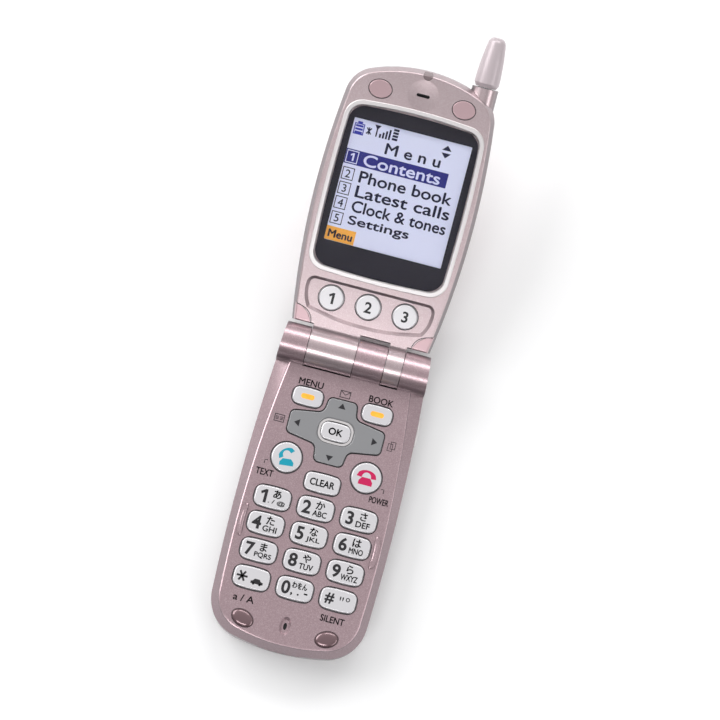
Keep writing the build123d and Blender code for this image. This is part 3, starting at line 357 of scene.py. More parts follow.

# %% [markdown]
# ## Clear window
# The window is a clear moulding over the display. Its glass keeps a plain transmission, so that it
# exports as glass, and it carries very slight cloudy changes of tint and roughness.

# %% Window material
window_clear = bpy.data.materials.new("window clear")
window_clear.use_nodes = True
tree = window_clear.node_tree
shader = tree.nodes["Principled BSDF"]
WINDOW_IOR = 1.12     # low, because the display lies against the back of the window
shader.inputs["Transmission Weight"].default_value = 1.0
shader.inputs["IOR"].default_value = WINDOW_IOR
clouds = group_node(tree, cloud, Color=srgb(250, 250, 252), Dark_Color=srgb(244, 244, 248), Scale=30.0,
                    Amount=0.4, Roughness=0.02, Roughness_Spread=0.02)
tree.links.new(clouds.outputs["Color"], shader.inputs["Base Color"])
tree.links.new(clouds.outputs["Roughness"], shader.inputs["Roughness"])
print("window index of refraction:", WINDOW_IOR)

# %% [markdown]
# ## Finishes for the CAD nodes
# Each node of the frame takes one finish. The list is grouped as the phone would be on the bench:
# painted shells, trim, keys, then the parts inside.

# %% Assign finishes
NUMBERS = ["1", "2", "3", "4", "5", "6", "7", "8", "9", "star", "0", "hash"]
FINISHES = {
    base_paint: ["base_front_case", "base_rear_case", "battery_cover", "jack_cover", "connector_cover"],
    lid_paint: ["lid_front_case", "lid_rear_case"],
    trim_silver: ["display_bezel", "side_key"],
    key_silver: ["soft_key_left", "soft_key_right", "call_key", "end_key", "clear_key", "select_key"]
    + [f"key_{number}" for number in NUMBERS] + [f"one_touch_key_{number}" for number in (1, 2, 3)],
    navigation_grey: ["navigation_key"],
    pale_pink: ["lid_screw_caps", "lid_corner_pads"],
    bumper_rose: ["base_bumpers"],
    lens_smoke: ["indicator_lens"],
    antenna_pale: ["antenna_cap"],
    bright_plate: ["antenna_whip", "strap_bar"],
    steel: ["hinge_shaft", "hinge_click_unit", "hinge_bush", "base_screws", "lid_screws", "vibration_motor",
            "antenna_holder"],
    weight_metal: ["vibration_weight"],
    black_plastic: ["ringer_speaker", "earpiece_speaker", "microphone", "system_connector", "earphone_jack",
                    "navigation_rocker_ring", "display_panel"],
    board_green: ["main_board", "keypad_board", "lid_board"],
    mat_grey: ["key_mat"],
    battery_can: ["battery_pack"],
    flex_amber: ["hinge_flex_cable"],
    window_clear: ["display_window"],
}
dressed = set()
for material, names in FINISHES.items():
    for name in names:
        slots = nodes[name].data.materials
        for index in range(len(slots)):
            slots[index] = material
        if not slots:
            slots.append(material)
        dressed.add(name)
print("undressed nodes:", sorted(set(nodes) - dressed))

# %% [markdown]
# ## Flat shapes
# A printed mark is a flat shape lying a hundredth of a millimetre over its surface. Every mark is made
# the same way: outlines are worked out as arrays, gathered into one mesh, and lifted onto the plane of
# the half they are printed on. Outlines run anticlockwise, so their faces look outwards.

# %% Outline helpers
def oval(x, s, width, height, count=32, start=0.0, turn=2 * pi):
    """Points (x + w/2 cos t, s + h/2 sin t) with t from start over turn."""
    closed = turn >= 2 * pi
    t = start + np.linspace(0, turn, count, endpoint=not closed)
    return np.stack([x + width / 2 * np.cos(t), s + height / 2 * np.sin(t)], axis=1)


def rounded_box(x, s, width, height, radius, bow=(0.0, 0.0), corner=8):
    """A rectangle with round corners, each side bowed out by bow times 1 - (place / half)^2."""
    half = np.array([width / 2, height / 2])
    quarter = np.linspace(0, pi / 2, corner)
    arcs = []
    for k, (i, j) in enumerate(((1, 1), (-1, 1), (-1, -1), (1, -1))):
        t = quarter + k * pi / 2
        arcs.append(np.stack([i * (half[0] - radius) + radius * np.cos(t),
                              j * (half[1] - radius) + radius * np.sin(t)], axis=1))
    flat = np.concatenate(arcs)
    sides = np.concatenate([flat, flat[:1]])
    steps = np.linspace(0, 1, 7)[:-1]
    share = steps[None, :, None]
    flat = (sides[:-1, None] * (1 - share) + sides[1:, None] * share).reshape(-1, 2)
    grown = flat + np.sign(flat) * np.array(bow) * (1 - (flat[:, ::-1] / half[::-1]) ** 2)
    return grown + np.array([x, s])


def shape(outline):
    """One flat face with that outline."""
    outline = np.asarray(outline, float)
    return outline, [list(range(len(outline)))]


def box(x, s, width, height):
    """A plain rectangle centred on (x, s)."""
    return shape(np.array([[-1, -1], [1, -1], [1, 1], [-1, 1]]) * np.array([width, height]) / 2 + [x, s])


def ring(outer, inner):
    """The band between two outlines of the same number of points, as a strip of four-sided faces."""
    count = len(outer)
    near, ahead = np.arange(count), (np.arange(count) + 1) % count
    faces = np.stack([near, ahead, ahead + count, near + count], axis=1)
    return np.concatenate([outer, inner]), faces.tolist()


def stroke(points, width):
    """A line of constant width along an open run of points."""
    points = np.asarray(points, float)
    ahead = np.gradient(points, axis=0)
    ahead /= np.linalg.norm(ahead, axis=1)[:, None]
    side = np.stack([-ahead[:, 1], ahead[:, 0]], axis=1) * width / 2
    return shape(np.concatenate([points - side, (points + side)[::-1]]))


# %% Letters
# The outline of a 1 with a flag, one unit tall, and the middle of its box.
ONE = np.array([[0.1, 0.0], [0.34, 0.0], [0.34, 1.0], [0.14, 1.0], [-0.22, 0.78], [-0.14, 0.6], [0.1, 0.74]])
ONE_MIDDLE, ONE_NARROWING = np.array([0.06, 0.5]), np.array([0.92, 1.0])


def words(text, x, s, height, width=None, weight=0.0, bold=0.0):
    """Letters as flat faces: their own box is scaled to the height (and width) and centred on (x, s).

    weight swells the outlines; bold lays down four more copies, each moved by that many millimetres."""
    if text == "1":
        return shape((ONE - ONE_MIDDLE) * height * ONE_NARROWING + [x, s])
    curve = bpy.data.curves.new("word", "FONT")
    curve.body = text
    curve.offset = weight
    curve.resolution_u = 4
    holder = bpy.data.objects.new("word", curve)
    bpy.context.scene.collection.objects.link(holder)
    bpy.context.view_layer.update()
    built = holder.evaluated_get(bpy.context.evaluated_depsgraph_get())
    mesh = bpy.data.meshes.new_from_object(built)
    flat = np.zeros(len(mesh.vertices) * 3)
    mesh.vertices.foreach_get("co", flat)
    flat = flat.reshape(-1, 3)[:, :2]
    faces = [list(polygon.vertices) for polygon in mesh.polygons]
    if mesh.polygons[0].normal.z < 0:
        faces = [face[::-1] for face in faces]
    bpy.data.objects.remove(holder)
    bpy.data.meshes.remove(mesh)
    low, high = flat.min(axis=0), flat.max(axis=0)
    tall = height / (high[1] - low[1])
    wide = tall if width is None else width / (high[0] - low[0])
    flat = (flat - (low + high) / 2) * [wide, tall] + [x, s]
    if not bold:
        return flat, faces
    shifts = np.array([[0, 0], [1, 0], [-1, 0], [0, 1], [0, -1]]) * bold
    copies = (flat[None] + shifts[:, None]).reshape(-1, 2)
    starts = [copy * len(flat) for copy in range(len(shifts))]
    return copies, [[index + start for index in face] for start in starts for face in faces]


# %% Flat pieces on a plane
def flat_piece(name, body, material, plane, height, shapes):
    """Gathers flat shapes into one mesh at a height over the plane, and rides it on a body."""
    points, faces, start = [], [], 0
    for outline, outline_faces in shapes:
        points.append(outline)
        faces += [[start + index for index in face] for face in outline_faces]
        start += len(outline)
    mesh = bpy.data.meshes.new(name)
    mesh.from_pydata(lift(plane, np.concatenate(points), height).tolist(), [], faces)
    mesh.materials.append(material)
    piece = bpy.data.objects.new(name, mesh)
    bpy.context.scene.collection.objects.link(piece)
    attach(piece, body)
    return piece


INK = 0.012   # height of print over its surface, in millimetres


def key_place(name, plane="base"):
    """Centre (x, s) of a key and the height of its top, from its box along its own plane."""
    coords = np.empty(len(nodes[name].data.vertices) * 3)
    nodes[name].data.vertices.foreach_get("co", coords)
    origin, along = PLANES[plane]
    offset = (coords.reshape(-1, 3) - origin) / MM
    across = np.array([1.0, 0.0, 0.0])
    x, s, h = (offset @ axis for axis in (across, along, np.cross(across, along)))
    return (x.min() + x.max()) / 2, (s.min() + s.max()) / 2, h.max()


print("key 5 at", [round(float(value), 2) for value in key_place("key_5")])


# %% [markdown]
# ## Number keys
# Each key carries a bold digit on its left, a syllable of the kana table at its upper right, and three
# or four letters under it, in the order that every telephone keypad of its country uses. The
# characters come from Blender's own typeface, and each key's legend rides on that key, so it goes down
# with it.

# %% Number key legends
LEGENDS = {
    "1": ("1", "あ", ". / @"), "2": ("2", "か", "ABC"), "3": ("3", "さ", "DEF"),
    "4": ("4", "た", "GHI"), "5": ("5", "な", "JKL"), "6": ("6", "は", "MNO"),
    "7": ("7", "ま", "PQRS"), "8": ("8", "や", "TUV"), "9": ("9", "ら", "WXYZ"),
    "0": ("0", "わをん", ", . -"),
}
DIGIT_HEIGHT, KANA_HEIGHT, LETTER_HEIGHT, SIGN_HEIGHT = 4.15, 2.5, 1.75, 1.5
KANA_ROW_HEIGHT, KANA_ROW_WIDTH = 1.9, 4.6    # three syllables in a row on the 0 key
LETTERS_WIDTH, FOUR_LETTERS_WIDTH = 4.3, 5.2
for number, (digit, kana, letters) in LEGENDS.items():
    x, s, top = key_place(f"key_{number}")
    kana_size = (KANA_HEIGHT, None) if len(kana) == 1 else (KANA_ROW_HEIGHT, KANA_ROW_WIDTH)
    letters_width = FOUR_LETTERS_WIDTH if len(letters) > 3 else LETTERS_WIDTH
    letters_height = LETTER_HEIGHT if letters.isalpha() else SIGN_HEIGHT
    marks = [
        words(digit, x - 2.8, s, DIGIT_HEIGHT, weight=0.03),
        words(kana, x + 1.3, s + 1.25, *kana_size, bold=0.08),
        words(letters, x + 1.55, s - 1.35, letters_height, letters_width, bold=0.06),
    ]
    flat_piece(f"legend_{number}", f"key_{number}", ink_black, "base", top + INK, marks)
print("number keys printed:", len(LEGENDS))

# %% Star and hash legends
x, s, top = key_place("key_star")
SPOKE, SPOKE_WIDTH = 1.7, 0.62
star_middle = np.array([x - 2.9, s])
spokes = []
for angle in (0.0, pi / 3, 2 * pi / 3):
    arm = SPOKE * np.array([cos(angle), sin(angle)])
    spokes.append(stroke([star_middle - arm, star_middle + arm], SPOKE_WIDTH))
CAR = np.array([[-1.9, -0.6], [1.9, -0.6], [1.9, 0.15], [1.2, 0.3], [0.7, 0.95], [-0.8, 0.95], [-1.3, 0.3],
                [-1.9, 0.1]])
car = shape(CAR + [x + 1.9, s - 0.9])
wheels = [shape(oval(x + 1.9 + offset, s - 1.5, 0.8, 0.8, 16)) for offset in (-1.0, 1.0)]
flat_piece("legend_star", "key_star", ink_black, "base", top + INK, spokes + [car] + wheels)
x, s, top = key_place("key_hash")
flat_piece("legend_hash", "key_hash", ink_black, "base", top + INK, [
    words("#", x - 2.7, s, 3.4, weight=0.03),
    words("\"", x + 1.0, s + 0.7, 1.2),
    ring(oval(x + 2.9, s + 0.8, 1.3, 1.3, 24), oval(x + 2.9, s + 0.8, 0.75, 0.75, 24)),
])
print("star arms:", len(spokes), "hash key at", round(float(x), 2), round(float(s), 2))

# %% One-touch keys of the lid
ONE_TOUCH_DIGIT = 3.5
for number in ("1", "2", "3"):
    x, s, top = key_place(f"one_touch_key_{number}", "lid")
    digit = words(number, x, s, ONE_TOUCH_DIGIT, weight=0.025)
    flat_piece(f"legend_one_touch_{number}", f"one_touch_key_{number}", ink_black, "lid", top + INK, [digit])
    print("one-touch key", number, "at", round(float(x), 2), round(float(s), 2))

# %% [markdown]
# ## Function keys
# The call and end keys carry a coloured handset each. A handset is a thick arc with a block at each
# end, drawn here as one outline, because a single face has no seams. The soft keys carry a small
# amber lamp, and the four-way key has an arrow on each arm.

# %% Handsets
def turned(flat, angle):
    """Flat points turned about the origin: a row (x, s) times the turning matrix of the angle."""
    return flat @ np.array([[cos(angle), sin(angle)], [-sin(angle), cos(angle)]])


def handset(x, s, size, turn):
    """A handset as one outline: a crescent between two arcs, and a square block at each end."""
    t = np.radians(np.linspace(158, 22, 19))
    back = np.stack([np.cos(t) * 1.0, np.sin(t) * 0.62], axis=1)
    front = np.stack([np.cos(t[::-1]) * 0.52, np.sin(t[::-1]) * 0.62 - 0.24], axis=1)
    right = np.array([[1.06, -0.16], [0.52, -0.22], [0.46, 0.02]])
    left = right[::-1] * [-1, 1]
    outline = np.concatenate([back, right, front[1:-1], left]) * size
    return shape((turned(outline, turn) + [x, s])[::-1])


def cradle(x, s, width, height, turn):
    """The desk phone under a handset: a block whose sides slope in to a narrower top."""
    outline = np.array([[-0.5, -0.5], [0.5, -0.5], [0.5, 0.0], [0.3, 0.5], [-0.3, 0.5], [-0.5, 0.0]])
    return shape(turned(outline * [width, height], turn) + [x, s])


x, s, top = key_place("call_key")
flat_piece("legend_call", "call_key", ink_cyan, "base", top + INK, [
    handset(x - 0.3, s + 1.1, 2.5, radians(38)), cradle(x + 0.35, s - 1.5, 4.3, 2.1, radians(6)),
])
x, s, top = key_place("end_key")
flat_piece("legend_end", "end_key", ink_crimson, "base", top + INK, [
    handset(x, s + 0.55, 2.9, 0.0), cradle(x, s - 1.15, 4.3, 2.3, 0.0),
])
print("handsets printed on the call and end keys")

# %% Lamps and arrows
for side in ("left", "right"):
    x, s, top = key_place(f"soft_key_{side}")
    lamp = shape(rounded_box(x, s, 4.2, 1.6, 0.75))
    flat_piece(f"lamp_{side}", f"soft_key_{side}", lamp_amber, "base", top + INK, [lamp])
x, s, top = key_place("navigation_key")
ARM_X, ARM_S, ARROW = 12.2, 8.2, 1.15
arrow_up = np.array([[-ARROW, -0.75], [ARROW, -0.75], [0.0, 0.95]])
ARROWS = {0.0: (0.0, ARM_S), pi: (0.0, -ARM_S), pi / 2: (-ARM_X, 0.0), -pi / 2: (ARM_X, 0.0)}
arrows = [shape(turned(arrow_up, angle) + [x + place_x, s + place_s])
          for angle, (place_x, place_s) in ARROWS.items()]
flat_piece("legend_navigation", "navigation_key", ink_black, "base", top + INK, arrows)
SEAT_BOW = (0.2, 0.3)
seat = ring(rounded_box(x, s, 10.4, 7.0, 2.6, bow=SEAT_BOW), rounded_box(x, s, 9.1, 5.7, 2.1, bow=SEAT_BOW))
flat_piece("select_seat", "navigation_key", trim_silver, "base", top + INK, [seat])
x, s, top = key_place("select_key")
legend = words("OK", x, s, 2.1, 4.3, bold=0.1)
flat_piece("legend_select", "select_key", ink_black, "base", top + INK, [legend])
x, s, top = key_place("clear_key")
legend = words("CLEAR", x, s, 2.1, 7.6, bold=0.08)
flat_piece("legend_clear", "clear_key", ink_black, "base", top + INK, [legend])
print("arrows:", len(arrows))

# %% [markdown]
# ## Print on the keypad face
# Small captions stand beside the keys: one over each soft key, an envelope, a list and a pair of
# cards round the four-way key, and captions of the second functions. The words are plain
# function words. They are printed on the case, so they ride on the base.

# %% Captions and small icons
KEY_STANDS = 0.6                          # how far a key stands out of the face
FACE = key_place("key_5")[2] - KEY_STANDS
CAPTIONS = [
    ("MENU", -11.0, -10.9, 2.0, 7.6), ("BOOK", 11.2, -10.9, 2.0, 7.6),
    ("TEXT", -18.0, -41.0, 2.0, 5.4), ("POWER", 18.1, -41.0, 1.9, 6.0),
    ("a / A", -14.3, -79.9, 2.1, 6.4), ("SILENT", 13.4, -79.6, 2.0, 7.4),
]
ICON_LINE = 0.25


def frame_line(x, s, half, line):
    """A rectangular line of a width, drawn inside the half sizes about (x, s)."""
    corner = np.array([[-1, -1], [1, -1], [1, 1], [-1, 1]])
    half = np.array(half)
    return ring(corner * half + [x, s], corner * (half - line) + [x, s])


marks = [words(text, x, s, height, width, bold=0.06) for text, x, s, height, width in CAPTIONS]
ENVELOPE_S, SIDE_ICON_S, BOOK_X, CARDS_X = -11.7, -23.75, -17.8, 17.3
flap = np.array([[-1.5, 1.0], [0, -0.15], [1.5, 1.0]]) + [0, ENVELOPE_S]
envelope = [frame_line(0, ENVELOPE_S, (1.65, 1.15), ICON_LINE), stroke(flap, ICON_LINE)]
book = [frame_line(BOOK_X, SIDE_ICON_S, (1.6, 1.2), ICON_LINE)]
book += [box(BOOK_X + page, SIDE_ICON_S + line, 1.0, 0.22)
         for page in (-0.7, 0.7) for line in (-0.4, 0.0, 0.4)]
cards = [frame_line(CARDS_X + shift, SIDE_ICON_S + rise, (0.8, 1.2), 0.2)
         for shift, rise in ((0.0, -0.3), (0.8, 0.4))]
hooks = [stroke([[side * 18.8, -38.4], [side * 18.8, -37.2], [side * 17.9, -37.2]], 0.28) for side in (-1, 1)]
flat_piece("face_print", "base", print_and_shade_grey, "base", FACE + INK, marks + envelope + book + cards + hooks)
print("captions:", [caption[0] for caption in CAPTIONS])

# %% [markdown]
# ## Bumpers and grips
# The two oval bumpers that the lid closes on are domes of tinted soft plastic. A dome is one surface of
# two parameters: u goes round the oval and v goes from its rim to its crown, and the height follows a
# quarter circle. The two grips at the sides of the keypad are bars with a half-round section, carried
# along a shallow arc, whose width and height fade to nothing at both ends.

# %% Surfaces on a grid
def surface(name, body, material, points, wrap=True):
    """A mesh from a (rows, columns, 3) grid of points; wrap joins the last column to the first."""
    rows, columns = points.shape[:2]
    index = np.arange(rows * columns).reshape(rows, columns)
    ahead = np.roll(index, -1, axis=1) if wrap else index[:, 1:]
    near = index if wrap else index[:, :-1]
    faces = np.stack([near[:-1], ahead[:-1], ahead[1:], near[1:]], axis=-1).reshape(-1, 4)
    mesh = bpy.data.meshes.new(name)
    mesh.from_pydata(points.reshape(-1, 3).tolist(), [], faces.tolist())
    mesh.materials.append(material)
    mesh.polygons.foreach_set("use_smooth", np.ones(len(mesh.polygons), bool))
    piece = bpy.data.objects.new(name, mesh)
    bpy.context.scene.collection.objects.link(piece)
    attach(piece, body)
    return piece


def dome(x, s, half, turn, low, high, crown=0.002, rings=14, around=48):
    """Grid over an oval: reach cos(v)^0.7, height low + (high - low) sin(v), v from 0 to a quarter turn.

    The last ring is the oval shrunk to the share crown."""
    u = np.linspace(0, 2 * pi, around, endpoint=False)
    v = np.linspace(0, pi / 2, rings)
    reach = np.maximum(np.cos(v) ** 0.7, crown)[:, None]
    flat = np.stack([half[0] * reach * np.cos(u), half[1] * reach * np.sin(u)], axis=-1)
    flat = turned(flat, turn) + [x, s]
    rise = (low + (high - low) * np.sin(v))[:, None] * np.ones(around)
    grid = lift("base", flat.reshape(-1, 2), 0.0).reshape(rings, around, 3)
    return grid + np.array([0.0, 0.0, MM]) * rise[..., None]


# %% Bumper domes
BUMPER_TURN, BUMPER_HALF, BUMPER_DEPTH, BUMPER_RISE = radians(18), (3.5, 2.4), 0.3, 0.5
BUMPER_REACH = 3.43                       # from a bumper's middle to its outermost edge
low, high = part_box("base_bumpers")
bumper_x = drop("base", high)[0] - BUMPER_REACH
bumper_s = (drop("base", low)[1] + drop("base", high)[1]) / 2
for side, label in ((-1, "left"), (1, "right")):
    grid = dome(side * bumper_x, bumper_s, BUMPER_HALF, side * BUMPER_TURN, FACE - BUMPER_DEPTH,
                FACE + BUMPER_RISE)
    bumper = surface(f"bumper_{label}", "base", bumper_rose, grid)
    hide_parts("base_bumpers")
print("bumpers at x", round(float(bumper_x), 2), "s", round(float(bumper_s), 2))

# %% Side grips
GRIP_MIDDLE, GRIP_LENGTH, GRIP_WIDTH, GRIP_RISE, GRIP_BEND = (20.4, -56.6), 10.6, 1.7, 0.75, 0.55
GRIP_SINK = 0.05                          # the grip starts just under the face


def grip(side, middle, length, width, rise, bend, steps=40, section=12):
    """A half-round bar: place t along it, swell sqrt(1 - |t|^3) at its ends, section angle a from 0 to pi."""
    t = np.linspace(-1, 1, steps)
    swell = np.sqrt(np.clip(1 - np.abs(t) ** 3, 0.0004, 1))[:, None]
    a = np.linspace(0, pi, section)
    x = side * (middle[0] + bend * (1 - t ** 2)[:, None] + width / 2 * swell * np.cos(a))
    s = middle[1] + length / 2 * t[:, None] * np.ones(section)
    h = FACE - GRIP_SINK + rise * swell * np.sin(a)
    flat = np.stack([x, s], axis=-1).reshape(-1, 2)
    return lift("base", flat, 0.0).reshape(steps, section, 3) + np.array([0.0, 0.0, MM]) * h[..., None]


for side, label in ((-1, "left"), (1, "right")):
    grid = grip(side, GRIP_MIDDLE, GRIP_LENGTH, GRIP_WIDTH, GRIP_RISE, GRIP_BEND)
    surface(f"grip_{label}", "base", base_paint, grid if side < 0 else grid[:, ::-1], wrap=False)
print("grips:", GRIP_LENGTH, "by", GRIP_WIDTH, "mm")

# %% [markdown]
# ## Shadow lines
# Round every key, cap and cover the case edge is broken to a small radius, and that edge is always in
# shade. A thin dark line drawn round each opening gives the crisp outline that the real gaps have.

# %% Shadow lines of the keypad
SHADE_RISE, SHADE_WIDTH, SHADE_LAP = 0.006, 0.16, 0.02
GAP = 0.3                                 # between a key and the edge of its opening


def box_shade(x, s, width, height, radius, bow, gap=GAP):
    """The band round a bowed box: its outline grown by gap and line, less the one grown by the gap."""
    outlines = [rounded_box(x, s, width + 2 * g, height + 2 * g, radius + g, bow=bow)
                for g in (gap + SHADE_WIDTH, gap - SHADE_LAP)]
    return ring(*outlines)


def oval_shade(x, s, width, height, gap=GAP, count=64):
    """The same band round an oval."""
    outlines = [oval(x, s, width + 2 * g, height + 2 * g, count)
                for g in (gap + SHADE_WIDTH, gap - SHADE_LAP)]
    return ring(*outlines)


KEY_PLANS = {f"key_{number}": (10.7, 5.9, 1.9, (0.2, 0.4)) for number in NUMBERS}
KEY_PLANS.update({
    "soft_key_left": (9.0, 5.0, 1.9, (0.15, 0.3)), "soft_key_right": (9.0, 5.0, 1.9, (0.15, 0.3)),
    "clear_key": (10.5, 5.2, 1.6, (0.175, 0.35)),
})
ROUND_KEY, ONE_TOUCH_KEY = 9.3, 7.5
lines = [box_shade(*key_place(name)[:2], *plan) for name, plan in KEY_PLANS.items()]
lines += [oval_shade(*key_place(name)[:2], ROUND_KEY, ROUND_KEY) for name in ("call_key", "end_key")]
flat_piece("base_shade_lines", "base", print_and_shade_grey, "base", FACE + SHADE_RISE, lines)
print("openings outlined on the keypad:", len(lines))

# %% Shadow lines of the lid
LID_FACE, TRAY_FLOOR = -0.6, -1.8
lines = [oval_shade(*key_place(f"one_touch_key_{number}", "lid")[:2], ONE_TOUCH_KEY, ONE_TOUCH_KEY)
         for number in (1, 2, 3)]
flat_piece("tray_shade_lines", "lid", print_and_shade_grey, "lid", TRAY_FLOOR + SHADE_RISE, lines)
CAP_X, CAP_S, CAP_WIDTH, CAP_HEIGHT = 13.1, 81.9, 7.2, 5.7
PAD_START, PAD_BEND, PAD_END, PAD_LINE = [15.9, 6.9], [16.3, 11.4], [21.6, 11.9], 0.24
lines = [oval_shade(side * CAP_X, CAP_S, CAP_WIDTH, CAP_HEIGHT, gap=0.0, count=48) for side in (-1, 1)]
t = np.linspace(0, 1, 16)[:, None]
pad_edge = (1 - t) ** 2 * PAD_START + 2 * t * (1 - t) * PAD_BEND + t ** 2 * PAD_END
lines += [stroke(pad_edge[::-1] * [-1, 1], PAD_LINE), stroke(pad_edge, PAD_LINE)]
flat_piece("lid_shade_lines", "lid", print_and_shade_grey, "lid", LID_FACE + SHADE_RISE, lines)
print("edges outlined on the lid:", len(lines))

# %% [markdown]
# ## Window print
# The dark frame round the display is printed on the back of the window. It is a band between two
# outlines: the outer one is the window's own plan, a rectangle with bowed sides, and the inner one is
# the lit area with small corners. Both have the same number of points, so the band is a clean strip.

# %% Window border and display
WINDOW_S, WINDOW_HALF = 50.55, (20.1, 24.8)
LIT_S, LIT_HALF = 52.4, (18.5, 19.2)
WINDOW_THICKNESS, PRINT_CLEAR, LIT_CLEAR, LIT_MARGIN = 1.0, 0.04, 0.01, 1.0
window_back = key_place("display_window", "lid")[2] - WINDOW_THICKNESS
panel_top = key_place("display_panel", "lid")[2]
outer = rounded_box(0, WINDOW_S, 2 * WINDOW_HALF[0], 2 * WINDOW_HALF[1], 4.2, bow=(0.7, 0.95))
inner = rounded_box(0, LIT_S, 2 * LIT_HALF[0], 2 * LIT_HALF[1], 0.3)
flat_piece("window_border", "lid", border_print, "lid", window_back + PRINT_CLEAR, [ring(outer, inner)])
screen = box(0, LIT_S, 2 * LIT_HALF[0] + LIT_MARGIN, 2 * LIT_HALF[1] + LIT_MARGIN)
flat_piece("screen_light", "lid", screen_pale, "lid", panel_top + LIT_CLEAR, [screen])
print("lit area:", 2 * LIT_HALF[0], "by", 2 * LIT_HALF[1], "mm")

# %% [markdown]
# ## What the display shows
# The screen shows a plain menu: a status row, a title, five numbered lines of which the first is
# picked out, and a tab at the bottom. It is made of flat shapes a little above the lit sheet, in
# three colours, and the words are the ones any phone has.

# %% Menu rows
TEXT_CLEAR, BAND_TEXT_CLEAR = 0.03, 0.02
LINE = panel_top + TEXT_CLEAR
ROWS = [(59.6, "1", "Contents", 24.0), (54.3, "2", "Phone book", 29.0), (49.7, "3", "Latest calls", 29.5),
        (45.1, "4", "Clock & tones", 29.5), (40.3, "5", "Settings", 19.0)]
TEXT_LEFT, NUMBER_X, ROW_HEIGHT, ROW_BOLD = -12.6, -16.3, 3.5, 0.1
BAND_S = ROWS[0][0]
edge = np.array([[-1.85, -1.95], [1.85, -1.95], [1.85, 1.95], [-1.85, 1.95]])
dark = [words("M e n u", 1.6, 64.6, 3.3, 17.2, bold=ROW_BOLD)]
pale = []
for s, number, text, wide in ROWS:
    target = pale if s == BAND_S else dark
    target.append(words(text, TEXT_LEFT + wide / 2, s, ROW_HEIGHT, wide, bold=ROW_BOLD))
    target.append(words(number, NUMBER_X, s, 2.4, bold=0.04))
    target.append(ring(edge + [NUMBER_X, s], edge * 0.86 + [NUMBER_X, s]))
print("menu rows:", [row[2] for row in ROWS])

# %% Status row
ARROWS_AT, STAR_AT, MAST_X, MAST_S, METER_X = [11.2, 68.2], [-13.3, 68.5], -10.9, 69.0, -5.1
dark += [shape(np.array([[-1.5, 0.4], [1.5, 0.4], [0.0, 2.0]]) + ARROWS_AT),
         shape(np.array([[-1.5, -0.4], [0.0, -2.0], [1.5, -0.4]]) + ARROWS_AT)]
dark += [stroke(np.array([[-0.7, -0.95], [0.7, 0.95]]) * [flip, 1] + STAR_AT, 0.4) for flip in (-1, 1)]
dark += [box(*STAR_AT, 0.4, 2.2), shape(np.array([[-1.0, 1.0], [0.0, -0.5], [1.0, 1.0]]) + [MAST_X, 69.9])]
dark += [box(MAST_X, MAST_S, 0.45, 3.4)]
bars = [1.2 + 0.65 * step for step in range(4)]
dark += [box(-9.7 + 0.95 * step, 67.3 + tall / 2, 0.6, tall) for step, tall in enumerate(bars)]
dark += [box(METER_X, 67.9 + 0.95 * step, 1.7, 0.7) for step in range(4)]
BATTERY_X, BATTERY_S = -16.4, 68.6
case = np.array([[-1.6, -2.0], [1.6, -2.0], [1.6, 1.5], [-1.6, 1.5]])
battery = [ring(case + [BATTERY_X, BATTERY_S], case * 0.8 + [BATTERY_X, BATTERY_S]),
           box(BATTERY_X, 70.4, 1.5, 0.6)]
battery += [box(BATTERY_X, 67.3 + 1.0 * step, 2.3, 0.65) for step in range(3)]
flat_piece("screen_text", "lid", screen_dark, "lid", LINE, dark)
flat_piece("screen_band", "lid", screen_navy, "lid", LINE, [box(-2.45, BAND_S, 32.1, 4.6)])
flat_piece("screen_band_text", "lid", screen_pale, "lid", LINE + BAND_TEXT_CLEAR, pale)
flat_piece("screen_battery", "lid", screen_blue, "lid", LINE, battery)
print("dark marks:", len(dark), "battery marks:", len(battery))

# %% Tab
TAB_X, TAB_S = -13.9, 35.35
flat_piece("screen_tab", "lid", screen_orange, "lid", LINE, [box(TAB_X, TAB_S, 9.2, 4.3)])
tab_word = words("Menu", TAB_X, TAB_S, 2.3, 7.4, bold=0.12)
flat_piece("screen_tab_text", "lid", screen_dark, "lid", LINE + BAND_TEXT_CLEAR, [tab_word])
print("tab at", TAB_X, TAB_S)

# %% [markdown]
# ## Floor, light and camera
# The phone lies on a plain pale floor under broad soft lamps. The camera looks along the line that
# halves the angle between the two halves, a little from the keypad end, and it is turned about its own
# axis, so that the phone leans to the right. A long lens keeps the perspective mild.

# %% Floor
FLOOR_HALF, FLOOR_CLEAR = 3.0, 0.0002     # metres; the floor lies just under the phone
floor_mesh = bpy.data.meshes.new("floor")
corners = np.array([[-1, -1], [1, -1], [1, 1], [-1, 1]]) * FLOOR_HALF
floor_z = cad_box[0][2] - FLOOR_CLEAR
floor_mesh.from_pydata([(x, y, floor_z) for x, y in corners.tolist()], [], [(0, 1, 2, 3)])
floor = bpy.data.objects.new("floor", floor_mesh)
bpy.context.scene.collection.objects.link(floor)
floor_white = finish("floor white", srgb(250, 250, 250), srgb(247, 247, 248), 0.9, cloud_scale=2.0)
floor_mesh.materials.append(floor_white)
print("floor at z", round(floor_z, 5))

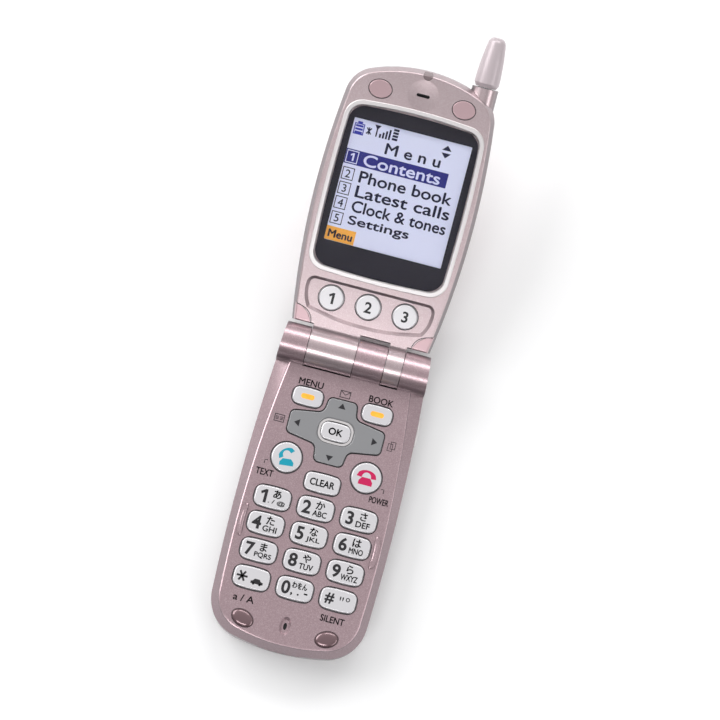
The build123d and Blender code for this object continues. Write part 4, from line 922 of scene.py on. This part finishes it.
# %% Camera
VIEW_LEAN, VIEW_ROLL = radians(8.5), radians(14.6)
DISTANCE, FRAME_WIDTH = 0.9, 0.2215       # metres
SHIFT_RIGHT, SHIFT_DOWN = 1.54 * MM, 0.62 * MM
back = np.array([0.0, -sin(VIEW_LEAN), cos(VIEW_LEAN)])
along = np.array([0.0, cos(VIEW_LEAN), sin(VIEW_LEAN)])
across = np.array([1.0, 0.0, 0.0])
right = cos(VIEW_ROLL) * across + sin(VIEW_ROLL) * along
up = cos(VIEW_ROLL) * along - sin(VIEW_ROLL) * across
target = HINGE + SHIFT_RIGHT * right - SHIFT_DOWN * up
camera_data = bpy.data.cameras.new("camera")
camera_data.sensor_width = 36.0
camera_data.lens = camera_data.sensor_width * DISTANCE / FRAME_WIDTH
camera = bpy.data.objects.new("camera", camera_data)
bpy.context.scene.collection.objects.link(camera)
pose = np.eye(4)
pose[:3, :3] = np.stack([right, up, back], axis=1)
pose[:3, 3] = target + DISTANCE * back
camera.matrix_world = Matrix(pose.tolist())
bpy.context.scene.camera = camera
print("lens:", round(camera_data.lens, 1), "mm")

# %% Lights
def lamp(name, place, size, power):
    """A rectangular soft lamp at a place, aimed at the phone."""
    data = bpy.data.lights.new(name, "AREA")
    data.shape = "RECTANGLE"
    data.size, data.size_y = size
    data.energy = power
    holder = bpy.data.objects.new(name, data)
    bpy.context.scene.collection.objects.link(holder)
    direction = -np.array(place) / np.linalg.norm(place)
    side = np.cross(direction, [0.0, 1.0, 0.0])
    side /= np.linalg.norm(side)
    above = np.cross(side, direction)
    turn = np.eye(4)
    turn[:3, :3] = np.stack([side, above, -direction], axis=1)
    turn[:3, 3] = place
    holder.matrix_world = Matrix(turn.tolist())


lamp("key lamp", (-0.75, 0.35, 0.6), (0.6, 0.9), 7.0)
lamp("head lamp", (0.1, 0.85, 0.75), (0.9, 0.35), 4.2)
lamp("foot lamp", (-0.1, -0.56, 0.8), (0.5, 0.12), 2.2)
lamp("side lamp", (0.8, -0.35, 0.55), (0.4, 0.9), 2.6)
print("lamps:", [item.name for item in bpy.data.lights])

# %% World
HORIZON_DARK, HORIZON_PALE = (0.16, 0.16, 0.17, 1.0), (1.0, 1.0, 1.0, 1.0)
WORLD_STRENGTH = 0.6
world = bpy.data.worlds.new("studio")
bpy.context.scene.world = world
world.use_nodes = True
sky = world.node_tree
backdrop = sky.nodes["Background"]
heading = sky.nodes.new("ShaderNodeTexCoord")
tilt = sky.nodes.new("ShaderNodeSeparateXYZ")
fade = sky.nodes.new("ShaderNodeMapRange")
fade.inputs["From Min"].default_value = -0.9
fade.inputs["From Max"].default_value = 0.5
mix = sky.nodes.new("ShaderNodeMix")
mix.data_type = "RGBA"
mix.inputs["A"].default_value = HORIZON_DARK
mix.inputs["B"].default_value = HORIZON_PALE
sky.links.new(heading.outputs["Generated"], tilt.inputs["Vector"])
sky.links.new(tilt.outputs["Y"], fade.inputs["Value"])
sky.links.new(fade.outputs["Result"], mix.inputs["Factor"])
sky.links.new(mix.outputs["Result"], backdrop.inputs["Color"])
backdrop.inputs["Strength"].default_value = WORLD_STRENGTH
bpy.context.scene.view_settings.view_transform = "Standard"
print("world strength:", WORLD_STRENGTH)
